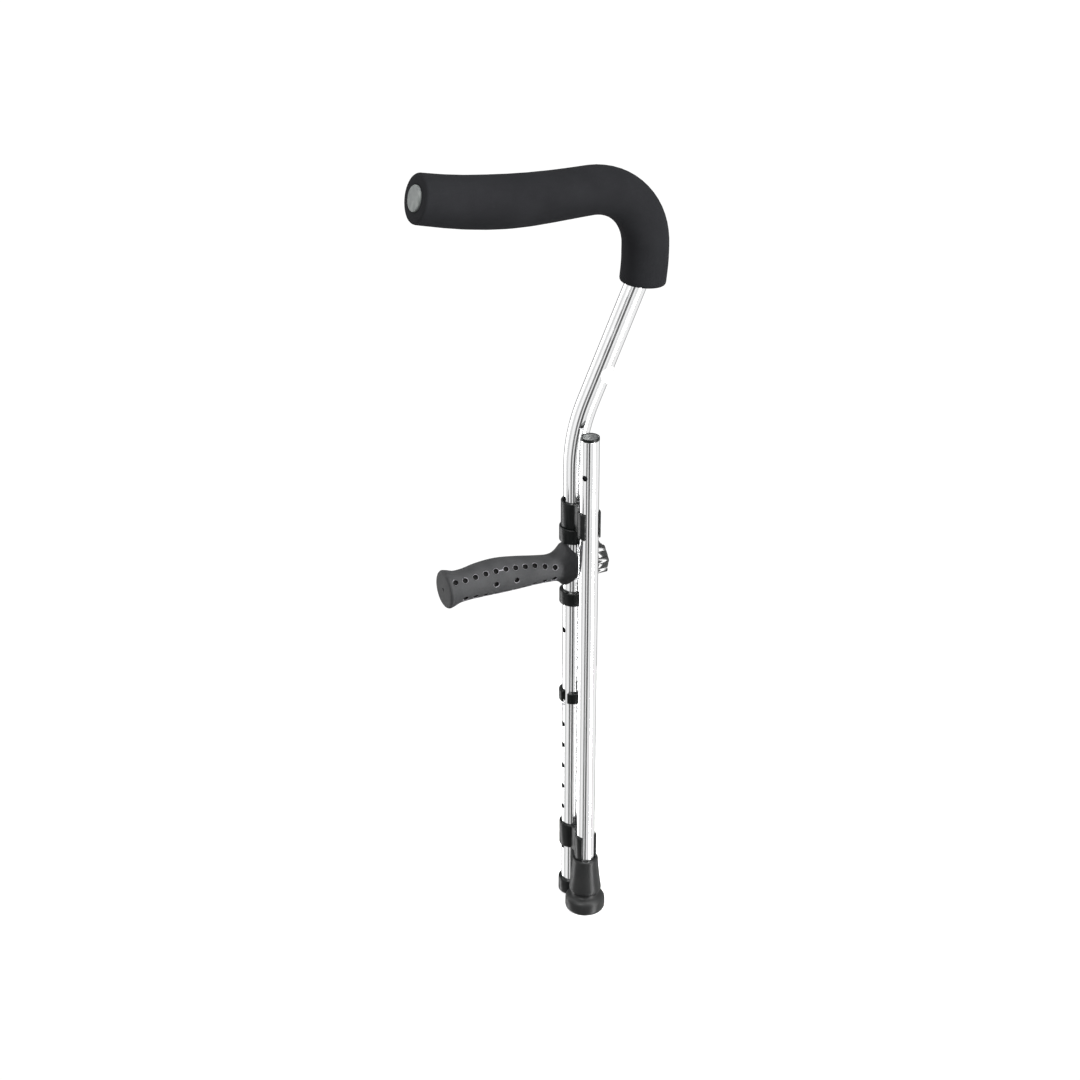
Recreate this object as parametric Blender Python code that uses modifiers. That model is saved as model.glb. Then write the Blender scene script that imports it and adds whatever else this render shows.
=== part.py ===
"""Folding underarm crutch, stored with its lower leg clipped beside the main tube.

Frame: the origin is the centre of the rubber foot's sole, +Z runs up the lower leg, the underarm
pad and the hand grip point to -X, and the main tube stands behind the leg, on its +Y side.
"""
import math

import bmesh
import bpy
from mathutils import Matrix, Vector

MM = 0.001
GAP = 0.3 * MM                      # clearance between neighbouring solids

# Tubes
MAIN_R = 11.11 * MM                 # 7/8 inch tube
LEG_R = 9.525 * MM                  # 3/4 inch tube
WALL = 1.2 * MM
MAIN_BORE_R = MAIN_R - WALL
LEG_BORE_R = LEG_R - WALL
TUBE_SPACING = 31.3 * MM            # main tube axis to leg axis
MAIN_BOTTOM_Z = 5.0 * MM
SPLICE_Z = 457.0 * MM               # straight tube meets the gooseneck inside the upper clip
LEG_BOTTOM_Z = 14.6 * MM
LEG_TOP_Z = 548.4 * MM

# Gooseneck centre line, in the X-Z plane of the main tube: corners and their bend radii
GOOSENECK_CORNERS = (
    (0.0, 542.0, 160.0), (74.5, 707.0, 80.0), (74.5, 786.0, 61.0), (-93.0, 786.0, 520.0),
)
GOOSENECK_END = (-162.0, 804.0)

# Adjustment holes, facing -X
HOLE_R = 3.0 * MM
HOLE_PITCH = 25.4 * MM
HOLE_ROW_TOP_Z = 239.4 * MM
HOLE_ROW_COUNT = 8
GRIP_HOLE_PITCH = 37.0 * MM
GRIP_Z = 400.0 * MM
GRIP_HOLE_STEPS = (-2, -1, 0, 1)
GRIP_TOP_HOLE_STEP = 2
LEG_HOLE_Z = 510.4 * MM
LEG_HOLE_TURN = math.radians(58.0)  # the open hole's turn from -Y towards -X

# Clips that hold the leg beside the main tube
CLIP_SPANS = {"upper_clip": (443.5 * MM, 471.0 * MM), "lower_clip": (64.0 * MM, 91.5 * MM)}
CLIP_RING_R = 13.4 * MM
CLIP_JAW_R = 11.5 * MM
CLIP_WEB_HALF = 6.5 * MM
CLIP_MOUTH = math.radians(53.0)     # half the angle of the jaw's mouth

# Rings above and below the grip
GRIP_RINGS = {
    "grip_ring_upper": (427.0 * MM, 443.0 * MM, 15.0 * MM, 1),
    "grip_ring_lower": (357.0 * MM, 371.5 * MM, 14.5 * MM, -1),
}

# Locking collar
COLLAR_SPAN = (242.6 * MM, 254.4 * MM)
COLLAR_R = 14.4 * MM
COLLAR_MOUTH = (math.radians(184.0), math.radians(222.0))

# Main tube ferrule
FERRULE_SPAN = (3.2 * MM, 20.0 * MM)
FERRULE_R = 14.0 * MM

# Foot
FOOT_TOP_Z = 63.0 * MM
FOOT_FLANGE_R = 21.0 * MM
FOOT_SEAT_Z = 12.5 * MM
WASHER_T = 1.5 * MM

# Pad
FOAM_BOTTOM = (72.0, 686.0)

# Grip
GRIP_LENGTH = 144.0 * MM
GRIP_STATIONS = (
    # distance from the tube's axis, height of the centre line and radius, in millimetres
    (0.0, 400.0, 13.9), (30.0, 401.1, 13.9), (43.0, 402.6, 14.6), (64.0, 404.7, 16.5),
    (85.0, 406.3, 17.7), (107.0, 406.1, 17.0), (122.0, 404.8, 15.9), (131.0, 404.3, 16.4),
    (138.0, 404.3, 18.6), (144.0, 404.3, 19.8),
)
GRIP_SADDLE = (7.4, 4.0, 13.0)      # added radius, its place and its reach, in millimetres
GRIP_HOLE_SPACING = 10.9
GRIP_DIMPLE_R = 2.7 * MM
GRIP_DIMPLE_DEPTH = 3.2 * MM
GRIP_UPPER_ROW = (-136.2, 11)       # first hole's place in millimetres, count
GRIP_LOWER_ROW = (-126.0, 10)
GRIP_SINGLE_HOLES = (-94.4, -71.7)
CORE_R = 9.3 * MM
CORE_END = (-132.0, 404.0)

# Knob and its stud
KNOB_R = 17.0 * MM
KNOB_SPAN = (19.5 * MM, 33.5 * MM)
KNOB_HUB_BACK = 17.5 * MM
KNOB_LOBES = 7
STUD_R = 3.0 * MM
STUD_TIP_X = -30.0 * MM
STUD_HEAD_X = 28.0 * MM

# Spring buttons
BUTTON_R = 2.7 * MM
BUTTON_PROUD = 2.6 * MM
SPRING_WIDTH = 4.6 * MM
SPRING_T = 0.6 * MM
SPRING_REACH = 24.0 * MM            # from the button down to the spring's bend

SEGMENTS = 32                       # sides of the larger round parts
HOLE_SEGMENTS = 12
DIMPLE_SEGMENTS = 8


def clear_scene():
    """Remove every object of the open file."""
    for item in list(bpy.data.objects):
        bpy.data.objects.remove(item, do_unlink=True)


def new_collection(name):
    """Make a collection under the scene's own."""
    collection = bpy.data.collections.new(name)
    bpy.context.scene.collection.children.link(collection)
    return collection


def material(name, colour, roughness, metallic=0.0):
    """Make a Principled material."""
    mat = bpy.data.materials.new(name)
    mat.use_nodes = True
    shader = mat.node_tree.nodes["Principled BSDF"]
    shader.inputs["Base Color"].default_value = (*colour, 1.0)
    shader.inputs["Roughness"].default_value = roughness
    shader.inputs["Metallic"].default_value = metallic
    mat.diffuse_color = (*colour, 1.0)
    return mat


def link(item, collection):
    """Put an object in one collection."""
    collection.objects.link(item)
    return item


def smooth(mesh, angle=35.0):
    """Shade a mesh smooth apart from its sharp edges."""
    mesh.shade_smooth()
    mesh.set_sharp_from_angle(angle=math.radians(angle))


def arc(centre, radius, start, stop, steps):
    """Give points of a circle's arc as 2-D pairs, ends included."""
    return [
        (
            centre[0] + radius * math.cos(start + (stop - start) * i / steps),
            centre[1] + radius * math.sin(start + (stop - start) * i / steps),
        )
        for i in range(steps + 1)
    ]


def rounded_path(corners, start, end, step=math.radians(12.0)):
    """Join straight runs with bends: corners are (u, v, radius), start and end are (u, v)."""
    points = [Vector(start)]
    stops = [Vector(start)] + [Vector(c[:2]) for c in corners] + [Vector(end)]
    for i, corner in enumerate(corners):
        here = stops[i + 1]
        before = (stops[i] - here).normalized()
        after = (stops[i + 2] - here).normalized()
        turn = math.pi - before.angle(after)
        reach = corner[2] * math.tan(turn / 2)
        centre = here + (before + after).normalized() * corner[2] / math.cos(turn / 2)
        first = here + before * reach - centre
        side = 1.0 if after.x * before.y - after.y * before.x > 0 else -1.0
        count = max(3, math.ceil(turn / step))
        for k in range(count + 1):
            angle = side * turn * k / count
            spin = Matrix.Rotation(angle, 2)
            points.append(centre + spin @ first)
    points.append(Vector(end))
    return points


def mesh_object(name, mesh, collection):
    """Wrap a mesh in an object."""
    return link(bpy.data.objects.new(name, mesh), collection)


def curve_to_mesh(item, collection):
    """Turn a curve object into a closed mesh object of the same name and place."""
    bpy.context.view_layer.update()
    evaluated = item.evaluated_get(bpy.context.evaluated_depsgraph_get())
    mesh = bpy.data.meshes.new_from_object(evaluated)
    name = item.name
    place = item.matrix_world.copy()
    bpy.data.objects.remove(item, do_unlink=True)
    work = bmesh.new()
    work.from_mesh(mesh)
    bmesh.ops.remove_doubles(work, verts=work.verts, dist=0.00001)
    bmesh.ops.recalc_face_normals(work, faces=work.faces)
    bmesh.ops.triangulate(work, faces=[face for face in work.faces if len(face.verts) > 4])
    work.to_mesh(mesh)
    work.free()
    result = mesh_object(name, mesh, collection)
    result.matrix_world = place
    return result


def sweep(name, points, radius, collection, radii=None, resolution=6):
    """Sweep a round section along 3-D points, with filled ends."""
    data = bpy.data.curves.new(name, "CURVE")
    data.dimensions = "3D"
    data.bevel_depth = radius
    data.bevel_resolution = resolution
    data.use_fill_caps = True
    spline = data.splines.new("POLY")
    spline.points.add(len(points) - 1)
    for i, point in enumerate(points):
        spline.points[i].co = (*point, 1.0)
        spline.points[i].radius = 1.0 if radii is None else radii[i] / radius
    return curve_to_mesh(link(bpy.data.objects.new(name, data), collection), collection)


def extruded_outline(name, outlines, low, high, collection):
    """Extrude closed flat outlines along Z, inner outlines being holes."""
    data = bpy.data.curves.new(name, "CURVE")
    data.dimensions = "2D"
    data.fill_mode = "BOTH"
    data.extrude = (high - low) / 2
    for outline in outlines:
        spline = data.splines.new("POLY")
        spline.points.add(len(outline) - 1)
        for i, point in enumerate(outline):
            spline.points[i].co = (point[0], point[1], 0.0, 1.0)
        spline.use_cyclic_u = True
    item = link(bpy.data.objects.new(name, data), collection)
    item.location = (0.0, 0.0, (low + high) / 2)
    return curve_to_mesh(item, collection)


def turned(name, profile, collection, steps=SEGMENTS):
    """Turn a profile of (radius, height) pairs about Z with a Screw modifier.

    A profile that starts and ends on the axis stays open there, and any other is closed.
    """
    mesh = bpy.data.meshes.new(name)
    work = bmesh.new()
    verts = [work.verts.new((radius, 0.0, height)) for radius, height in profile]
    on_axis = profile[0][0] == 0.0 and profile[-1][0] == 0.0
    for i in range(len(verts) - 1 if on_axis else len(verts)):
        work.edges.new((verts[i], verts[(i + 1) % len(verts)]))
    work.to_mesh(mesh)
    work.free()
    item = mesh_object(name, mesh, collection)
    screw = item.modifiers.new("turn", "SCREW")
    screw.steps = steps
    screw.render_steps = steps
    screw.use_merge_vertices = True
    screw.merge_threshold = 0.00001
    bpy.context.view_layer.update()
    evaluated = item.evaluated_get(bpy.context.evaluated_depsgraph_get())
    solid = bpy.data.meshes.new_from_object(evaluated)
    bpy.data.objects.remove(item, do_unlink=True)
    work = bmesh.new()
    work.from_mesh(solid)
    bmesh.ops.remove_doubles(work, verts=work.verts, dist=0.00001)
    bmesh.ops.recalc_face_normals(work, faces=work.faces)
    work.to_mesh(solid)
    work.free()
    return mesh_object(name, solid, collection)


def cylinder(name, radius, start, end, collection, segments=24):
    """Make a cylinder between two points."""
    start = Vector(start)
    end = Vector(end)
    work = bmesh.new()
    bmesh.ops.create_cone(
        work, cap_ends=True, segments=segments, radius1=radius, radius2=radius, depth=(end - start).length
    )
    mesh = bpy.data.meshes.new(name)
    work.to_mesh(mesh)
    work.free()
    item = mesh_object(name, mesh, collection)
    turn = Vector((0.0, 0.0, 1.0)).rotation_difference(end - start).to_matrix().to_4x4()
    half_step = Matrix.Rotation(math.pi / segments, 4, "Z")
    item.matrix_world = Matrix.Translation((start + end) / 2) @ turn @ half_step
    return item


def boolean(item, cutters, operation="DIFFERENCE"):
    """Apply Booleans to an object and keep the result as its mesh."""
    for i, cutter in enumerate(cutters):
        modifier = item.modifiers.new(f"{operation.lower()}_{i}", "BOOLEAN")
        modifier.operation = operation
        modifier.object = cutter
        modifier.solver = "EXACT"
    bpy.context.view_layer.update()
    evaluated = item.evaluated_get(bpy.context.evaluated_depsgraph_get())
    mesh = bpy.data.meshes.new_from_object(evaluated)
    item.modifiers.clear()
    old = item.data
    item.data = mesh
    bpy.data.meshes.remove(old)
    for cutter in cutters:
        bpy.data.objects.remove(cutter, do_unlink=True)
    return item


def finish(item, mat, angle=35.0):
    """Give a sub-part its material and shading."""
    item.data.materials.clear()
    item.data.materials.append(mat)
    smooth(item.data, angle)
    return item


def at_main(points):
    """Put gooseneck points, in millimetres of X and Z, on the main tube's plane."""
    return [(p[0] * MM, TUBE_SPACING, p[1] * MM) for p in points]


def make_tubes(parts, cutters, aluminium):
    """Make the straight main tube, the gooseneck and the lower leg tube."""
    axis = (0.0, TUBE_SPACING)
    tube = cylinder("main_tube", MAIN_R, (*axis, MAIN_BOTTOM_Z), (*axis, SPLICE_Z - GAP), parts, SEGMENTS)
    cuts = [cylinder("bore", MAIN_BORE_R, (*axis, -MAIN_R), (*axis, SPLICE_Z + MAIN_R), cutters, SEGMENTS)]
    for i in range(HOLE_ROW_COUNT):
        z = HOLE_ROW_TOP_Z - i * HOLE_PITCH
        ends = (-2 * MAIN_R, axis[1], z), (0.0, axis[1], z)
        cuts.append(cylinder("row_hole", HOLE_R, *ends, cutters, HOLE_SEGMENTS))
    for i in GRIP_HOLE_STEPS:
        z = GRIP_Z + i * GRIP_HOLE_PITCH
        ends = (-2 * MAIN_R, axis[1], z), (2 * MAIN_R, axis[1], z)
        cuts.append(cylinder("grip_hole", STUD_R + GAP, *ends, cutters, HOLE_SEGMENTS))
    finish(boolean(tube, cuts), aluminium)

    path = rounded_path(GOOSENECK_CORNERS, (0.0, SPLICE_Z / MM), GOOSENECK_END)
    neck = sweep("gooseneck_tube", at_main(path), MAIN_R, parts)
    ends = rounded_path(GOOSENECK_CORNERS, (0.0, SPLICE_Z / MM - 5.0), extended_end(6.0))
    z = GRIP_Z + GRIP_TOP_HOLE_STEP * GRIP_HOLE_PITCH
    top_hole = (-2 * MAIN_R, axis[1], z), (2 * MAIN_R, axis[1], z)
    cuts = [
        sweep("neck_bore", at_main(ends), MAIN_BORE_R, cutters, None, 5),
        cylinder("top_hole", HOLE_R, *top_hole, cutters, HOLE_SEGMENTS),
    ]
    finish(boolean(neck, cuts), aluminium)

    leg = cylinder("leg_tube", LEG_R, (0.0, 0.0, LEG_BOTTOM_Z), (0.0, 0.0, LEG_TOP_Z), parts, SEGMENTS)
    across = Vector((-math.sin(LEG_HOLE_TURN), -math.cos(LEG_HOLE_TURN), 0.0)) * 2 * LEG_R
    middle = Vector((0.0, 0.0, LEG_HOLE_Z))
    cuts = [
        cylinder("leg_bore", LEG_BORE_R, (0.0, 0.0, 0.0), (0.0, 0.0, LEG_TOP_Z + LEG_R), cutters, SEGMENTS),
        cylinder("leg_hole", HOLE_R, middle - across, middle + across, cutters, HOLE_SEGMENTS),
    ]
    finish(boolean(leg, cuts), aluminium)


def extended_end(extra):
    """Give the gooseneck's end point moved out along the last run, in millimetres."""
    corner = Vector(GOOSENECK_CORNERS[-1][:2])
    end = Vector(GOOSENECK_END)
    return tuple(end + (end - corner).normalized() * extra)


def foam_radius(x, along):
    """Give the foam's outer radius in millimetres for a place on the pad."""
    if along < 0.35:
        return 22.6 + 1.2 * along
    swell = math.exp(-(((x + 80.0) / 62.0) ** 2))
    return 23.0 + 1.9 * swell


def make_pad(parts, cutters, foam_mat, cap_mat):
    """Make the foam sleeve over the gooseneck's arm and the plug in the arm's end."""
    corners = ((74.2, 707.0, 150.0),) + GOOSENECK_CORNERS[2:]
    coarse = rounded_path(corners, FOAM_BOTTOM, extended_end(1.0))
    path = resample(coarse, 11.0)
    lengths = running_lengths(path)
    total = lengths[-1]
    radii = [foam_radius(p[0], s / total) for p, s in zip(path, lengths)]
    rounding = ((0.0, 3.2), (0.9, 1.4), (2.2, 0.4), (4.5, 0.0))
    path, radii = rounded_ends(path, lengths, radii, rounding)
    foam = sweep("underarm_foam", at_main(path), 23.0 * MM, parts, [r * MM for r in radii], 6)
    bore_path = rounded_path(GOOSENECK_CORNERS, (0.0, SPLICE_Z / MM), extended_end(9.0))
    cut = sweep("foam_bore", at_main(bore_path), MAIN_R + GAP, cutters, None, 6)
    wide = at_main([extended_end(-3.6), extended_end(9.0)])
    recess = sweep("cap_recess", wide, 12.9 * MM, cutters, None, 6)
    finish(boolean(foam, [cut, recess]), foam_mat, 60.0)

    corner = Vector(GOOSENECK_CORNERS[-1][:2])
    end = Vector(GOOSENECK_END)
    out = (end - corner).normalized()
    cap = turned(
        "pad_end_cap",
        (
            (0.0, 1.6 * MM), (10.6 * MM, 1.6 * MM), (12.3 * MM, 0.7 * MM), (12.4 * MM, -0.6 * MM),
            (11.9 * MM, -0.9 * MM), (9.4 * MM, -0.9 * MM), (9.4 * MM, -9.0 * MM), (8.6 * MM, -10.0 * MM),
            (7.2 * MM, -10.0 * MM), (7.2 * MM, -1.4 * MM), (0.0, -1.4 * MM),
        ),
        parts,
        36,
    )
    direction = Vector((out.x, 0.0, out.y))
    turn = Vector((0.0, 0.0, 1.0)).rotation_difference(direction).to_matrix().to_4x4()
    place = Vector((end.x * MM, TUBE_SPACING, end.y * MM)) + direction * 1.3 * MM
    cap.matrix_world = Matrix.Translation(place) @ turn
    finish(cap, cap_mat)


def running_lengths(path):
    """Give the length along a path at each of its points."""
    lengths = [0.0]
    for a, b in zip(path, path[1:]):
        lengths.append(lengths[-1] + (Vector(b) - Vector(a)).length)
    return lengths


def point_at(path, lengths, s):
    """Give the point at a length along a path."""
    for i in range(1, len(path)):
        if s <= lengths[i] or i == len(path) - 1:
            share = (s - lengths[i - 1]) / (lengths[i] - lengths[i - 1])
            return Vector(path[i - 1]).lerp(Vector(path[i]), share)
    return Vector(path[-1])


def resample(path, step):
    """Space a path's points evenly."""
    lengths = running_lengths(path)
    count = max(2, round(lengths[-1] / step))
    return [point_at(path, lengths, lengths[-1] * i / count) for i in range(count + 1)]


def rounded_ends(path, lengths, radii, rounding):
    """Round a sleeve's two end edges: rounding is (distance from the end, radius lost)."""
    total = lengths[-1]
    reach = rounding[-1][0]
    points = []
    sizes = []
    for distance, loss in rounding:
        points.append(point_at(path, lengths, distance))
        sizes.append(radii[0] - loss)
    for point, s, radius in zip(path, lengths, radii):
        if reach < s < total - reach:
            points.append(point)
            sizes.append(radius)
    for distance, loss in reversed(rounding):
        points.append(point_at(path, lengths, total - distance))
        sizes.append(radii[-1] - loss)
    return points, sizes


def clip_outline():
    """Give the clip's outline round both tubes, and the main tube's hole, seen from above."""
    main = (0.0, TUBE_SPACING)
    inner = LEG_R + GAP
    lip = (CLIP_JAW_R - inner) / 2
    web_jaw = math.asin(CLIP_WEB_HALF / CLIP_JAW_R)
    web_ring = math.asin(CLIP_WEB_HALF / CLIP_RING_R)
    right = -math.pi / 2 + CLIP_MOUTH
    left = 3 * math.pi / 2 - CLIP_MOUTH
    outline = arc((0.0, 0.0), CLIP_JAW_R, right, math.pi / 2 - web_jaw, 8)
    outline += arc(main, CLIP_RING_R, -math.pi / 2 + web_ring, 3 * math.pi / 2 - web_ring, 28)
    outline += arc((0.0, 0.0), CLIP_JAW_R, math.pi / 2 + web_jaw, left, 8)
    middle = inner + lip
    lip_left = (middle * math.cos(left), middle * math.sin(left))
    lip_right = (middle * math.cos(right), middle * math.sin(right))
    outline += arc(lip_left, lip, left, left + math.pi, 4)[1:-1]
    outline += arc((0.0, 0.0), inner, left, right, 24)
    outline += arc(lip_right, lip, right - math.pi, right, 4)[1:-1]
    hole = arc(main, MAIN_R + GAP, 0.0, 2 * math.pi, SEGMENTS)[:-1]
    return outline, hole


def make_clips(parts, plastic):
    """Make the two double clips: a ring on the main tube and a C jaw for the leg."""
    for name, (low, high) in CLIP_SPANS.items():
        finish(extruded_outline(name, clip_outline(), low, high, parts), plastic)


def ring_profile(inner, outer, low, high, round_by):
    """Give a ring's section with its outer edges rounded."""
    return (
        (inner, high), (outer - round_by, high), (outer - 0.3 * round_by, high - 0.3 * round_by),
        (outer, high - round_by), (outer, low + round_by), (outer - 0.3 * round_by, low + 0.3 * round_by),
        (outer - round_by, low), (inner, low),
    )


def make_rings(parts, plastic):
    """Make the grip's upper and lower rings with their locating pegs, and the bottom ferrule."""
    inner = MAIN_R + GAP
    for name, (low, high, outer, step) in GRIP_RINGS.items():
        ring = turned(name, ring_profile(inner, outer, low, high, 1.0 * MM), parts)
        ring.location = (0.0, TUBE_SPACING, 0.0)
        z = GRIP_Z + step * GRIP_HOLE_PITCH
        ends = (-10.2 * MM, TUBE_SPACING, z), (-12.6 * MM, TUBE_SPACING, z)
        finish(boolean(ring, [cylinder("peg", 2.7 * MM, *ends, parts, 20)], "UNION"), plastic)
    low, high = FERRULE_SPAN
    lip_top = MAIN_BOTTOM_Z - GAP
    ferrule = turned(
        "main_tube_ferrule",
        (
            (inner, high), (FERRULE_R - 1.0 * MM, high), (FERRULE_R, high - 1.0 * MM),
            (FERRULE_R, low + 1.2 * MM), (FERRULE_R - 1.2 * MM, low), (LEG_R + GAP, low),
            (LEG_R + GAP, lip_top), (inner, lip_top),
        ),
        parts,
    )
    ferrule.location = (0.0, TUBE_SPACING, 0.0)
    finish(ferrule, plastic)


def make_collar(parts, plastic):
    """Make the open locking collar; its origin is on the main tube's axis."""
    inner = MAIN_R + GAP
    start, stop = COLLAR_MOUTH
    lip = (COLLAR_R - inner) / 2
    middle = inner + lip
    outline = arc((0.0, 0.0), COLLAR_R, stop - 2 * math.pi, start, 28)
    lip_start = (middle * math.cos(start), middle * math.sin(start))
    lip_stop = (middle * math.cos(stop), middle * math.sin(stop))
    outline += arc(lip_start, lip, start, start + math.pi, 6)[1:-1]
    outline += arc((0.0, 0.0), inner, start, stop - 2 * math.pi, 28)
    outline += arc(lip_stop, lip, stop - math.pi, stop, 6)[1:-1]
    low, high = COLLAR_SPAN
    collar = extruded_outline("lock_collar", [outline], low, high, parts)
    collar.location.y = TUBE_SPACING
    finish(collar, plastic)


def make_foot(parts, rubber, steel, plastic):
    """Make the rubber foot, the washer under the leg and the plug in the leg's top."""
    socket = LEG_R + GAP
    foot = turned(
        "foot_tip",
        (
            (0.0, FOOT_SEAT_Z), (socket, FOOT_SEAT_Z), (socket, FOOT_TOP_Z), (12.9 * MM, FOOT_TOP_Z),
            (13.4 * MM, 62.4 * MM), (13.6 * MM, 58.0 * MM), (14.3 * MM, 49.0 * MM), (15.4 * MM, 38.0 * MM),
            (16.8 * MM, 27.0 * MM), (17.0 * MM, 25.0 * MM), (16.5 * MM, 23.6 * MM), (15.6 * MM, 22.6 * MM),
            (15.6 * MM, 17.6 * MM), (16.3 * MM, 16.2 * MM), (18.6 * MM, 15.2 * MM), (20.2 * MM, 13.6 * MM),
            (FOOT_FLANGE_R, 11.0 * MM), (FOOT_FLANGE_R, 3.4 * MM), (20.2 * MM, 1.0 * MM), (18.6 * MM, 0.0),
            (17.4 * MM, 0.0), (17.0 * MM, 1.4 * MM), (15.0 * MM, 1.4 * MM), (14.6 * MM, 0.0),
            (13.2 * MM, 0.0), (12.8 * MM, 1.4 * MM), (10.8 * MM, 1.4 * MM), (10.4 * MM, 0.0), (0.0, 0.0),
        ),
        parts,
    )
    ends = (0.0, TUBE_SPACING, -5.0 * MM), (0.0, TUBE_SPACING, 22.0 * MM)
    press = cylinder("press", FERRULE_R + GAP, *ends, parts)
    finish(boolean(foot, [press]), rubber)
    low = FOOT_SEAT_Z + GAP
    washer = turned(
        "foot_washer",
        (
            (3.2 * MM, low + WASHER_T), (LEG_R - GAP, low + WASHER_T),
            (LEG_R - GAP, low), (3.2 * MM, low),
        ),
        parts,
    )
    finish(washer, steel)
    top = LEG_TOP_Z + GAP
    plug = turned(
        "leg_top_plug",
        (
            (0.0, top + 2.2 * MM), (7.8 * MM, top + 2.2 * MM), (8.2 * MM, top + 2.7 * MM),
            (9.0 * MM, top + 2.7 * MM), (LEG_R, top + 2.1 * MM), (LEG_R, top), (LEG_BORE_R - GAP, top),
            (LEG_BORE_R - GAP, top - 12.0 * MM),
            (7.2 * MM, top - 13.5 * MM), (6.0 * MM, top - 13.5 * MM), (6.0 * MM, top - 1.0 * MM),
            (0.0, top - 1.0 * MM),
        ),
        parts,
    )
    finish(plug, plastic)


def spring_outline(bore, reach):
    """Give a V spring's strip seen along its width: open end up, one arm on each wall."""
    outer = bore - 0.5 * MM
    inner = outer - SPRING_T
    foot = 3.0 * MM
    outline = [(outer, 8.0 * MM), (outer, -6.0 * MM)]
    outline += arc((0.0, -reach), foot + SPRING_T, -0.2, -math.pi + 0.2, 8)
    outline += [(-outer, -6.0 * MM), (-outer, 8.0 * MM), (-inner, 8.0 * MM), (-inner, -6.0 * MM)]
    outline += arc((0.0, -reach), foot, -math.pi + 0.2, -0.2, 8)
    outline += [(inner, -6.0 * MM), (inner, 8.0 * MM)]
    return outline


def make_spring_button(name, bore, wall_r, place, turn, parts, steel):
    """Make a V spring inside a tube, and its domed button that stands out through the tube's hole.

    The strip lies in the plane of the button's axis; turn carries +X onto the button's way out.
    """
    where = Matrix.Translation(place) @ Matrix.Rotation(turn, 4, "Z")
    outline = spring_outline(bore, SPRING_REACH)
    spring = extruded_outline(f"{name}_spring", [outline], -SPRING_WIDTH / 2, SPRING_WIDTH / 2, parts)
    spring.matrix_world = where @ Matrix.Rotation(math.pi / 2, 4, "X")
    finish(spring, steel)
    tip = wall_r + BUTTON_PROUD
    shoulder = wall_r + 0.6 * MM
    profile = [(0.0, tip)]
    profile += [
        (BUTTON_R * math.sin(a), shoulder + (tip - shoulder) * math.cos(a))
        for a in (math.radians(18.0 * k) for k in range(1, 6))
    ]
    profile += [(BUTTON_R, bore - 0.2 * MM), (0.0, bore - 0.2 * MM)]
    button = turned(f"{name}_button", profile, parts, 20)
    button.matrix_world = where @ Matrix.Rotation(math.pi / 2, 4, "Y")
    finish(button, steel, 50.0)


def make_buttons(parts, steel):
    """Make the catch in the main tube and the snap button in the leg's top."""
    make_spring_button(
        "catch", MAIN_BORE_R, MAIN_R, (0.0, TUBE_SPACING, HOLE_ROW_TOP_Z), math.pi, parts, steel
    )
    turn = math.atan2(math.cos(LEG_HOLE_TURN), math.sin(LEG_HOLE_TURN))
    make_spring_button("leg", LEG_BORE_R, LEG_R, (0.0, 0.0, LEG_HOLE_Z), turn, parts, steel)


def grip_section(x):
    """Give the centre line's height and the radius at a place along the grip, in millimetres."""
    d = max(-x, 0.0)
    for near, far in zip(GRIP_STATIONS, GRIP_STATIONS[1:]):
        if d <= far[0]:
            break
    share = (d - near[0]) / (far[0] - near[0])
    height = near[1] + (far[1] - near[1]) * share
    radius = near[2] + (far[2] - near[2]) * share
    extra, place, reach = GRIP_SADDLE
    return height, radius + extra * math.exp(-(((d - place) / reach) ** 2))


def grip_holes():
    """Give each blind hole of one side: its place along the grip and its lift from the side."""
    first, count = GRIP_UPPER_ROW
    holes = [
        (first + i * GRIP_HOLE_SPACING, math.radians(min(44.0, 26.0 + 9.0 * (count - 1 - i))))
        for i in range(count)
    ]
    first, count = GRIP_LOWER_ROW
    holes += [
        (first + i * GRIP_HOLE_SPACING, -math.radians(30.0 + 20.0 * math.sin(math.pi * i / (count - 1))))
        for i in range(count)
    ]
    return holes + [(x, 0.0) for x in GRIP_SINGLE_HOLES]


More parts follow.
